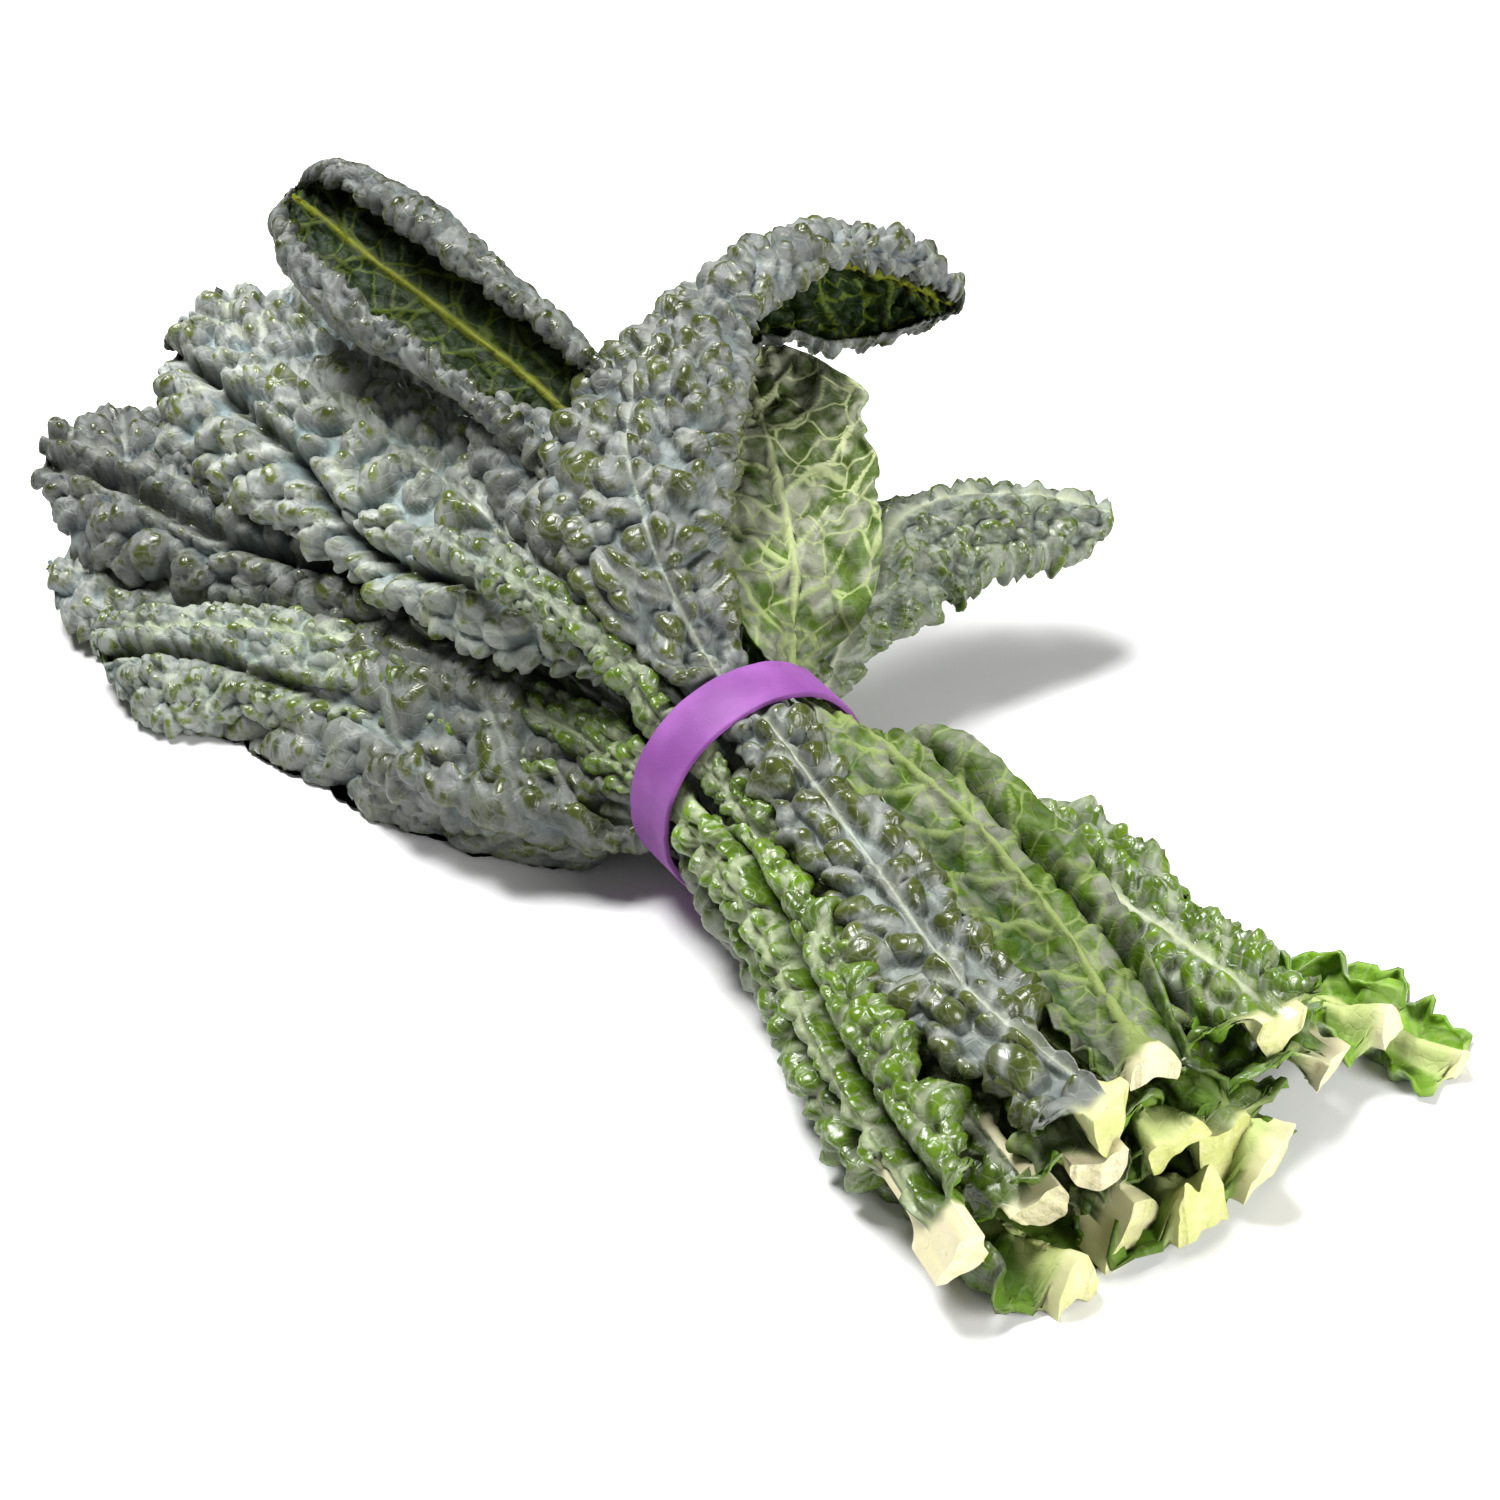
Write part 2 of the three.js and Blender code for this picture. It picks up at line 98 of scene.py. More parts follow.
def wander(x: np.ndarray, y: np.ndarray, seed: int) -> np.ndarray:
    """Smooth noise between -1 and 1, one bump per unit.

    Args:
        x: First coordinate, in bumps.
        y: Second coordinate, in bumps.
        seed: Which noise.

    Returns:
        The noise at each point.
    """
    table = np.random.default_rng(seed).random((64, 64))
    xi, yi = np.floor(x).astype(int), np.floor(y).astype(int)
    fx, fy = smooth_step(x - xi, 0, 1), smooth_step(y - yi, 0, 1)
    low = table[xi % 64, yi % 64] * (1 - fx) + table[(xi + 1) % 64, yi % 64] * fx
    high = table[xi % 64, (yi + 1) % 64] * (1 - fx) + table[(xi + 1) % 64, (yi + 1) % 64] * fx
    return 2.0 * (low * (1 - fy) + high * fy) - 1.0


@dataclass(frozen=True)
class BubbleField:
    """What a crowd of bubbles gives at each point, with lengths in cells.

    height is that of the tallest bubble there, inside runs from 1 at its middle to 0 at its
    rim, seam is 1 where two bubbles meet, number is random for each bubble, and away is the
    unit direction from its middle.
    """

    height: np.ndarray
    inside: np.ndarray
    seam: np.ndarray
    number: np.ndarray
    away: tuple[np.ndarray, np.ndarray]


@dataclass(frozen=True)
class Bubbles:
    """Round bubbles of many sizes crowded together, as blisters are on a leaf.

    The larger foot is, the more gently the bubbles rise from between each other.
    """

    seed: int
    smallest: float = 0.48
    largest: float = 0.86
    jitter: float = 0.85
    blend: float = 22.0
    foot: float = 0.6

    def at(self, x: np.ndarray, y: np.ndarray, plain: np.ndarray | float = 0.0) -> BubbleField:
        """Finds the bubbles at each point.

        Args:
            x: First coordinate, in cells.
            y: Second coordinate, in cells.
            plain: The share of cells that have no bubble.

        Returns:
            The field at each point.
        """
        table = np.random.default_rng(self.seed).random((64, 64, 5))
        xi, yi = np.floor(x).astype(int), np.floor(y).astype(int)
        best = np.full(x.shape, -99.0)
        first, second, total, inside, number, ax, ay = (np.zeros(x.shape) for _ in range(7))
        for dx in (-1, 0, 1):
            for dy in (-1, 0, 1):
                chosen = table[(xi + dx) % 64, (yi + dy) % 64]
                px = x - (xi + dx + 0.5 + (chosen[..., 0] - 0.5) * self.jitter)
                py = y - (yi + dy + 0.5 + (chosen[..., 1] - 0.5) * self.jitter)
                turn, stretch = chosen[..., 2] * math.pi, 0.86 + 0.3 * chosen[..., 3]
                long = (px * np.cos(turn) + py * np.sin(turn)) / stretch
                wide = (py * np.cos(turn) - px * np.sin(turn)) * stretch
                radius = self.smallest + (self.largest - self.smallest) * chosen[..., 4]
                share = 1.0 - (long**2 + wide**2) / radius**2
                there = smooth_step(chosen[..., 3], plain - 0.06, plain + 0.06)
                tall = radius * np.clip(share, 0.0, 1.0) ** self.foot * there
                total += np.exp(self.blend * tall)
                second = np.maximum(second, np.minimum(tall, first))
                first = np.maximum(first, tall)
                rank = np.where(tall > 0.0, 1.0 + tall, share)
                leads = rank > best
                best = np.maximum(best, rank)
                inside = np.where(leads, np.clip(share, 0.0, 1.0) * there, inside)
                number = np.where(leads, chosen[..., 3], number)
                ax, ay = np.where(leads, px, ax), np.where(leads, py, ay)
        # Each of the nine cells adds 1 where it has no bubble, so total is 9 where none rises.
        height = np.log(total - 8.0) / self.blend
        seam = np.exp(-(((first - second) / 0.07) ** 2)) * smooth_step(second, 0.02, 0.15)
        length = np.maximum(np.hypot(ax, ay), 1e-6)
        return BubbleField(height, inside, seam, number, (ax / length, ay / length))


def read_all(items: object, name: str, width: int, kind: type = float) -> np.ndarray:
    """Reads one property of every item of a mesh.

    Args:
        items: The mesh's vertices, edges, corners or faces.
        name: The property.
        width: How many numbers each item has.
        kind: The kind of number.

    Returns:
        One row for each item.
    """
    values = np.empty(len(items) * width, kind)
    items.foreach_get(name, values)
    return values.reshape(-1, width)


def apply_modifier(piece: Object, kind: str, **settings: object) -> None:
    """Gives the active piece a modifier and makes its result the mesh."""
    modifier = piece.modifiers.new(kind.lower(), kind)
    for name, value in settings.items():
        setattr(modifier, name, value)
    bpy.ops.object.modifier_apply(modifier=modifier.name)


# ---------- colours and materials ----------


class Kind(Enum):
    """The kinds of leaf in the bunch, by the colour of the face that shows."""

    BLUE = "blue"
    GREEN = "green"
    PALE = "pale"
    DARK = "dark"


@dataclass(frozen=True)
class Palette:
    """The colours of one kind of leaf, as linear light.

    The names that start with under are the underside's, and those that end in low are its
    colours towards the cut stem.
    """

    slot: str
    under: Colour = (0.003, 0.017, 0.001)
    under_wax: Colour = (0.011, 0.028, 0.003)
    under_vein: Colour = (0.18, 0.25, 0.014)
    under_rib: Colour = (0.16, 0.18, 0.008)
    under_low: Colour = (0.110, 0.235, 0.008)
    under_wax_low: Colour = (0.160, 0.285, 0.030)
    under_vein_low: Colour = (0.26, 0.36, 0.12)
    under_rib_low: Colour = (0.40, 0.46, 0.18)
    under_net: float = 0.5
    wax: Colour = (0.250, 0.268, 0.258)
    valley: Colour = (0.215, 0.285, 0.305)
    crest: Colour = (0.092, 0.110, 0.022)
    green_wax: Colour = (0.185, 0.24, 0.070)
    green: Colour = (0.110, 0.210, 0.004)
    # Painted shade: the dark colour painted into the creases and folds between blisters.
    crease_shade_colour: Colour = (0.012, 0.020, 0.012)
    vein: Colour = (0.50, 0.54, 0.45)
    rib: Colour = (0.50, 0.54, 0.36)


PALETTES: dict[Kind, Palette] = {
    Kind.BLUE: Palette(slot="leaf_blue_green"),
    Kind.GREEN: Palette(
        slot="leaf_green",
        wax=(0.245, 0.270, 0.245),
        valley=(0.20, 0.26, 0.25),
        crest=(0.092, 0.125, 0.020),
        green_wax=(0.175, 0.215, 0.105),
        green=(0.086, 0.156, 0.007),
        vein=(0.42, 0.48, 0.30),
        rib=(0.40, 0.48, 0.24),
        under=(0.030, 0.085, 0.008),
        under_wax=(0.075, 0.14, 0.025),
        under_vein=(0.30, 0.36, 0.12),
        under_rib=(0.40, 0.44, 0.18),
        under_net=0.4,
    ),
    Kind.PALE: Palette(
        slot="leaf_pale",
        wax=(0.32, 0.36, 0.28),
        valley=(0.26, 0.31, 0.24),
        crest=(0.075, 0.135, 0.015),
        under=(0.035, 0.048, 0.014),
        under_wax=(0.28, 0.29, 0.215),
        under_vein=(0.40, 0.43, 0.24),
        under_rib=(0.50, 0.54, 0.30),
        under_low=(0.062, 0.120, 0.004),
        under_wax_low=(0.185, 0.200, 0.145),
        under_vein_low=(0.20, 0.26, 0.08),
        under_rib_low=(0.18, 0.23, 0.07),
        under_net=0.8,
    ),
    Kind.DARK: Palette(
        slot="leaf_dark",
        wax=(0.17, 0.24, 0.14),
        valley=(0.12, 0.19, 0.10),
        crest=(0.060, 0.140, 0.010),
        under=(0.065, 0.15, 0.010),
        under_wax=(0.115, 0.21, 0.03),
        under_vein=(0.26, 0.33, 0.09),
        under_rib=(0.36, 0.42, 0.14),
        under_net=0.4,
        green_wax=(0.16, 0.25, 0.08),
    ),
}


def scaled(colour: Colour, factor: float) -> Colour:
    """A lighter or darker colour."""
    return tuple(factor * part for part in colour)


class Graph:
    """Builds one material's nodes."""

    def __init__(self, name: str) -> None:
        """Starts a material with its shader and output only."""
        self.material = bpy.data.materials.new(name)
        self.material.use_nodes = True
        self.tree = self.material.node_tree
        self.tree.nodes.clear()
        self.shader = self.tree.nodes.new("ShaderNodeBsdfPrincipled")
        output = self.tree.nodes.new("ShaderNodeOutputMaterial")
        self.tree.links.new(self.shader.outputs["BSDF"], output.inputs["Surface"])

    def feed(self, socket: NodeSocket, value: object) -> None:
        """Links a socket to a node's output, or sets its plain value."""
        if isinstance(value, NodeSocket):
            self.tree.links.new(value, socket)
        elif isinstance(value, tuple) and len(value) == 3 and socket.type == "RGBA":
            socket.default_value = (*value, 1.0)
        else:
            socket.default_value = value

    def read(self, attribute: str, output: str = "Fac") -> NodeSocket:
        """Reads an attribute of the piece."""
        node = self.tree.nodes.new("ShaderNodeAttribute")
        node.attribute_name = attribute
        return node.outputs[output]

    def math(self, operation: str, *values: object) -> NodeSocket:
        """A sum of one to three values."""
        node = self.tree.nodes.new("ShaderNodeMath")
        node.operation = operation
        for socket, value in zip(node.inputs, values):
            self.feed(socket, value)
        return node.outputs[0]

    def times(self, value: object, factor: object) -> NodeSocket:
        """A value times a factor."""
        return self.math("MULTIPLY", value, factor)

    def line(self, value: object, slope: float, start: object) -> NodeSocket:
        """A value times a slope, added to where it starts."""
        return self.math("MULTIPLY_ADD", value, slope, start)

    def sway(self, value: object, cloud: NodeSocket, amount: float) -> NodeSocket:
        """A value that a cloud pushes up and down."""
        return self.line(self.math("SUBTRACT", cloud, 0.5), amount, value)

    def between(self, value: object, low: float, high: float) -> NodeSocket:
        """Rises smoothly from 0 at low to 1 at high."""
        node = self.tree.nodes.new("ShaderNodeMapRange")
        node.interpolation_type = "SMOOTHSTEP"
        self.feed(node.inputs["Value"], value)
        node.inputs["From Min"].default_value = low
        node.inputs["From Max"].default_value = high
        return node.outputs["Result"]

    def mix(self, factor: object, first: object, second: object, blend: str = "MIX") -> NodeSocket:
        """Mixes two colours."""
        node = self.tree.nodes.new("ShaderNodeMix")
        node.data_type = "RGBA"
        node.blend_type = blend
        self.feed(node.inputs[0], factor)
        self.feed(node.inputs[6], first)
        self.feed(node.inputs[7], second)
        return node.outputs[2]

    def noise(self, where: object, scale: float, detail: float = 3.0) -> NodeSocket:
        """Cloudy noise, with scale in bumps per metre."""
        node = self.tree.nodes.new("ShaderNodeTexNoise")
        self.feed(node.inputs["Vector"], where)
        node.inputs["Scale"].default_value = scale
        node.inputs["Detail"].default_value = detail
        return node.outputs["Fac"]

    def borders(self, where: object, scale: float) -> NodeSocket:
        """Distance to the border of an irregular cell, with scale in cells per metre."""
        node = self.tree.nodes.new("ShaderNodeTexVoronoi")
        node.feature = "DISTANCE_TO_EDGE"
        self.feed(node.inputs["Vector"], where)
        node.inputs["Scale"].default_value = scale
        return node.outputs["Distance"]

    def place(self) -> NodeSocket:
        """The piece's own coordinates, in metres."""
        return self.tree.nodes.new("ShaderNodeTexCoord").outputs["Object"]

    def bump(self, height: object, strength: float, depth: float) -> NodeSocket:
        """A fine relief of the given depth in metres."""
        node = self.tree.nodes.new("ShaderNodeBump")
        node.inputs["Strength"].default_value = strength
        node.inputs["Distance"].default_value = depth
        self.feed(node.inputs["Height"], height)
        return node.outputs["Normal"]


@dataclass(frozen=True)
class Grain:
    """Clouds of three sizes and two nets of fine veins, which break up a blade's colours."""

    cloud: NodeSocket
    patch: NodeSocket
    speckle: NodeSocket
    fine_net: NodeSocket
    wide_net: NodeSocket


@dataclass(frozen=True)
class BladeFinish:
    """Blistered leaf: waxy hollows, glossier crests, pale veins, a dark underside, and painted shade in
    its creases and folds.
    """

    palette: Palette
    old_crest: Colour = (0.02, 0.03, 0.008)
    # Painted shade for the creases and folds of the greener blades.
    green_crease_shade_colour: Colour = (0.018, 0.052, 0.005)
    green_stem: Colour = (0.41, 0.44, 0.18)
    cream_stem: Colour = (0.61, 0.56, 0.36)
    stain: Colour = (0.35, 0.24, 0.07)

    def make(self) -> Material:
        """The material for both faces of a blade and its midrib."""
        g = Graph(f"{self.palette.slot}_blade")
        grain = self._grain(g)
        under, green = g.read("under"), g.read("green")
        on_top = self._on_top(g, grain)
        # The painted shade of the creases and folds, greener on green blades.
        dark = g.mix(green, self.palette.crease_shade_colour, self.green_crease_shade_colour)
        face = g.mix(under, self._upper(g, grain, on_top, green, dark), self._below(g, grain, green))
        # Painted shade along the lengthwise folds.
        face = g.mix(g.times(g.read("gap"), 0.85), face, dark)
        # Random lightness per blister, times painted shade at the blisters' feet and the leaf's painted
        # light and shade.
        face = g.mix(1.0, face, g.read("tone"), "MULTIPLY")
        under_rib = g.mix(green, self.palette.under_rib, self.palette.under_rib_low)
        face = g.mix(g.read("rib"), face, g.mix(under, self.palette.rib, under_rib))
        face = g.mix(g.read("bare"), face, self._stem(g, grain))
        g.feed(g.shader.inputs["Base Color"], face)
        self._gloss(g, grain, on_top, under)
        return g.material

    def _grain(self, g: Graph) -> Grain:
        """The clouds and nets that every part of the blade shares."""
        place, flat = g.place(), g.read("flat", "Vector")
        return Grain(
            cloud=g.noise(place, 60.0),
            patch=g.noise(place, 190.0, 4.0),
            speckle=g.noise(place, 600.0, 4.0),
            fine_net=g.between(g.borders(place, 330.0), 0.09, 0.02),
            wide_net=g.between(g.borders(flat, 125.0), 0.05, 0.015),
        )

    def _on_top(self, g: Graph, grain: Grain) -> NodeSocket:
        """Where a blister's wax is rubbed off, with an uneven edge."""
        top = g.sway(g.read("crest"), grain.patch, 0.5)
        top = g.sway(top, grain.speckle, 0.5)
        return g.between(top, 0.52, 0.84)

    def _upper(
        self, g: Graph, grain: Grain, on_top: NodeSocket, green: NodeSocket, dark: NodeSocket
    ) -> NodeSocket:
        """The upper face's colour: wax, rubbed crests, painted shade in the creases and pale veins.

        Args:
            g: The material's nodes.
            grain: Its clouds and nets.
            on_top: Where the wax is rubbed off.
            green: How green the blade is.
            dark: The painted shade of the creases and folds.

        Returns:
            The colour.
        """
        colours, cloud, patch = self.palette, grain.cloud, grain.patch
        valley = g.read("valley")
        wax = g.mix(g.between(cloud, 0.3, 0.7), colours.wax, scaled(colours.wax, 0.76))
        wax = g.mix(valley, wax, colours.valley)
        green_wax = g.mix(g.between(cloud, 0.35, 0.65), colours.green_wax, scaled(colours.green_wax, 0.62))
        wax = g.mix(green, wax, green_wax)
        rubbed = g.mix(green, colours.crest, colours.green)
        worn = g.times(g.between(patch, 0.48, 0.70), g.line(valley, -0.3, 0.50))
        wax = g.mix(worn, wax, rubbed)
        rubbed = g.mix(g.between(patch, 0.40, 0.72), rubbed, g.mix(0.55, rubbed, self.old_crest))
        upper = g.mix(on_top, wax, rubbed)
        # Painted shade in the creases between the blisters and their knobs.
        upper = g.mix(g.read("painted_crease_shade"), upper, dark)
        upper = g.mix(g.times(grain.fine_net, 0.12), upper, colours.vein)
        vein = g.times(g.between(g.read("vein"), 0.45, 0.85), 0.3)
        return g.mix(g.math("MAXIMUM", g.read("net"), vein), upper, colours.vein)

    def _below(self, g: Graph, grain: Grain, green: NodeSocket) -> NodeSocket:
        """The underside's colour: plain panels, waxed in spots, between pale threads.

        Args:
            g: The material's nodes.
            grain: Its clouds and nets.
            green: How green the blade is.

        Returns:
            The colour.
        """
        colours = self.palette
        mottle = g.times(grain.patch, 0.6)
        spots = g.between(g.math("ADD", mottle, g.times(grain.cloud, 0.4)), 0.42, 0.60)
        panel = g.mix(green, colours.under, colours.under_low)
        waxed = g.mix(green, colours.under_wax, colours.under_wax_low)
        threads = g.mix(green, colours.under_vein, colours.under_vein_low)
        below = g.mix(spots, panel, waxed)
        below = g.mix(g.times(grain.fine_net, 0.10), below, threads)
        lines = g.math("MAXIMUM", g.between(g.read("lines"), 0.62, 0.95), grain.wide_net)
        return g.mix(g.times(lines, colours.under_net), below, threads)

    def _stem(self, g: Graph, grain: Grain) -> NodeSocket:
        """The bare stem's colour, green to cream with small stains."""
        pith = g.sway(g.read("pith"), grain.cloud, 1.2)
        stained = g.times(g.between(grain.speckle, 0.66, 0.74), 0.35)
        return g.mix(stained, g.mix(pith, self.green_stem, self.cream_stem), self.stain)

    def _gloss(self, g: Graph, grain: Grain, on_top: NodeSocket, under: NodeSocket) -> None:
        """Sets the roughness, the highlights and the fine wrinkles.

        Args:
            g: The material's nodes.
            grain: Its clouds and nets.
            on_top: Where the wax is rubbed off, which is glossier.
            under: 1 on the underside, which is duller.
        """
        glossy = g.times(on_top, g.line(under, -0.8, 1.0))
        matt = g.line(glossy, -0.34, 0.55)
        g.feed(g.shader.inputs["Roughness"], g.line(grain.speckle, 0.12, matt))
        g.feed(g.shader.inputs["Specular IOR Level"], g.line(under, -0.32, 0.5))
        wrinkle = g.math("ADD", g.times(grain.fine_net, -0.4), grain.speckle)
        wrinkle = g.times(wrinkle, g.line(g.read("bare"), -0.7, 1.0))
        g.feed(g.shader.inputs["Normal"], g.bump(wrinkle, 0.35, 0.0004))


@dataclass(frozen=True)
class CutFinish:
    """The moist cut face of a stem: green or cream, lumpy and stained along its fine fibres."""

    green: Colour = (0.44, 0.46, 0.15)
    cream: Colour = (0.60, 0.55, 0.36)
    stain: Colour = (0.50, 0.40, 0.16)

    def make(self) -> Material:
        """The material of a cut face."""
        g = Graph("stem_cut_face")
        place = g.place()
        cloud = g.noise(place, 250.0)
        fibre = g.noise(place, 1800.0, 2.0)
        lumps = g.noise(place, 420.0, 4.0)
        face = g.mix(g.sway(g.read("pith"), cloud, 1.5), self.green, self.cream)
        face = g.mix(g.times(g.between(fibre, 0.60, 0.75), 0.35), face, self.stain)
        g.feed(g.shader.inputs["Base Color"], face)
        g.feed(g.shader.inputs["Roughness"], g.line(cloud, 0.2, 0.35))
        g.feed(g.shader.inputs["Normal"], g.bump(g.line(lumps, 5.0, fibre), 0.4, 0.0005))
        return g.material


@dataclass(frozen=True)
class RubberFinish:
    """Smooth dyed rubber with a faint sheen and the dusty look of a produce band."""

    dye: Colour = (0.172, 0.046, 0.215)

    def make(self) -> Material:
        """The material of the band."""
        g = Graph("band_rubber")
        place = g.place()
        cloud = g.noise(place, 90.0, 4.0)
        grain = g.noise(place, 2500.0, 2.0)
        worn = tuple(min(1.0, 1.35 * c + 0.02) for c in self.dye)
        g.feed(g.shader.inputs["Base Color"], g.mix(g.between(cloud, 0.3, 0.75), self.dye, worn))
        g.feed(g.shader.inputs["Roughness"], g.line(cloud, 0.15, 0.55))
        g.shader.inputs["Specular IOR Level"].default_value = 0.3
        g.feed(g.shader.inputs["Normal"], g.bump(grain, 0.25, 0.0002))
        return g.material


# ---------- the leaves ----------


@dataclass(frozen=True)
class Trend:
    """A value that changes along a leaf, given at its cut end, at the band and at its tip."""

    stem: float
    band: float
    tip: float

    def at(self, s: np.ndarray, band: float, total: float) -> np.ndarray:
        """The value at lengths s along a leaf."""
        return np.interp(s, [0.0, band, total], [self.stem, self.band, self.tip])


SMOOTH = Trend(0.7, 0.7, 0.7)
LOOSE = Trend(3.5, 2.0, 2.0)
RUFFLED = Trend(8.0, 0.7, 0.7)


@dataclass(frozen=True)
class Blisters:
    """How a leaf's blade is blistered, in millimetres.

    along and across are the size of a blister's cell, bulge is how far it swells over its
    foot, and small is the size of the knobs on it. edge_size is that of the crimped bubbles,
    which begin at rim_from of the way to the margin. middle is how much of their height the
    blisters keep in the middle of the blade.

    knobby says how far small knobs break up each blister, plain how many blisters are left
    out, polish how much of the blade has its wax rubbed off, green how green it is, and lines
    how clearly the veins between the blisters show. painted_foot_shade is how much painted
    shade darkens the blisters where they rise, thread how far the veins spread up the blisters,
    and raised how far they stand out on the underside. lit is the painted light and shade of
    the leaf there, partly its own lighter or darker colour, and finer how large its blisters
    are, as shares of its own light and sizes.
    """

    along: float = 5.6
    across: float = 5.0
    height: float = 3.4
    bulge: float = 0.3
    knobby: Trend = Trend(0.6, 0.8, 1.0)
    rim_from: float = 0.62
    edge_size: float = 3.8
    edge_height: float = 2.4
    small: float = 2.9
    small_height: float = 1.8
    vein_spacing: float = 16.0
    vein_slope: float = 1.0
    frill: Trend = Trend(4.0, 0.7, 0.7)
    middle: float = 1.0
    wave: float = 1.5
    rib_width: float = 1.0
    rib_show: float = 0.15
    plain: Trend = Trend(0.25, 0.15, 0.05)
    polish: Trend = Trend(0.5, 0.28, 0.17)
    green: Trend = Trend(0.95, 0.2, 0.0)
    lines: Trend = Trend(0.5, 0.3, 0.05)
    # Painted shade that darkens the foot of each blister.
    painted_foot_shade: float = 0.40
    # Painted light and shade along the leaf, partly its own lighter or darker colour.
    lit: Trend = Trend(1.0, 1.0, 1.0)
    thread: float = 0.04
    raised: float = 0.6
    finer: Trend = Trend(1.0, 1.0, 1.0)


@dataclass(frozen=True)
class LeafPlan:
    """One leaf: its stations from cut end to tip, and its look.

    A station is x, y, z, facing, pitch, half width, fold, roll left, roll right, in
    millimetres and degrees. waist is angle round the band, radius, facing, half width, roll.
    step is the size of the mesh, and inner leaves have longer steps where the bundle hides
    them. light is the painted light and shade over the whole leaf, partly its own lighter or
    darker colour. tip is the length over which the end rounds off, hem is how far the margin
    turns down, and curl_from and curl_power say how near the margin the roll begins and how
    fast it tightens. The stem has a half width, a depth, deep, and a trough along its top. bare
    is how far from the cut the blade begins on the left and on the right, and pith is 0 for a
    green stem to 1 for a cream one. rib is the half width and the depth of the midrib where it
    leaves the stem. grooves are lengthwise folds, each a place across, a depth, a half width and
    a wander, and they end at grooved_to; each fold is darkened with painted shade.
    """

    name: str
    kind: Kind
    seed: int
    waist: Station
    stem_side: tuple[Station, ...]
    tip_side: tuple[Station, ...]
    blisters: Blisters = Blisters()
    step: float = 0.9
    inner: bool = False
    curl_from: float = 0.0
    curl_power: float = 2.0
    hem: float = 90.0
    stem: float = 5.4
    deep: float = 8.0
    trough: float = 1.0
    bare: tuple[float, float] = (5.0, 5.0)
    pith: float = 0.5
    rib: tuple[float, float] = (3.0, 4.0)
    grooves: tuple[tuple[float, float, float, float], ...] = ()
    grooved_to: float = 400.0
    tip: float = 26.0
    # Painted light and shade over the whole leaf, partly its own lighter or darker colour.
    light: float = 0.95


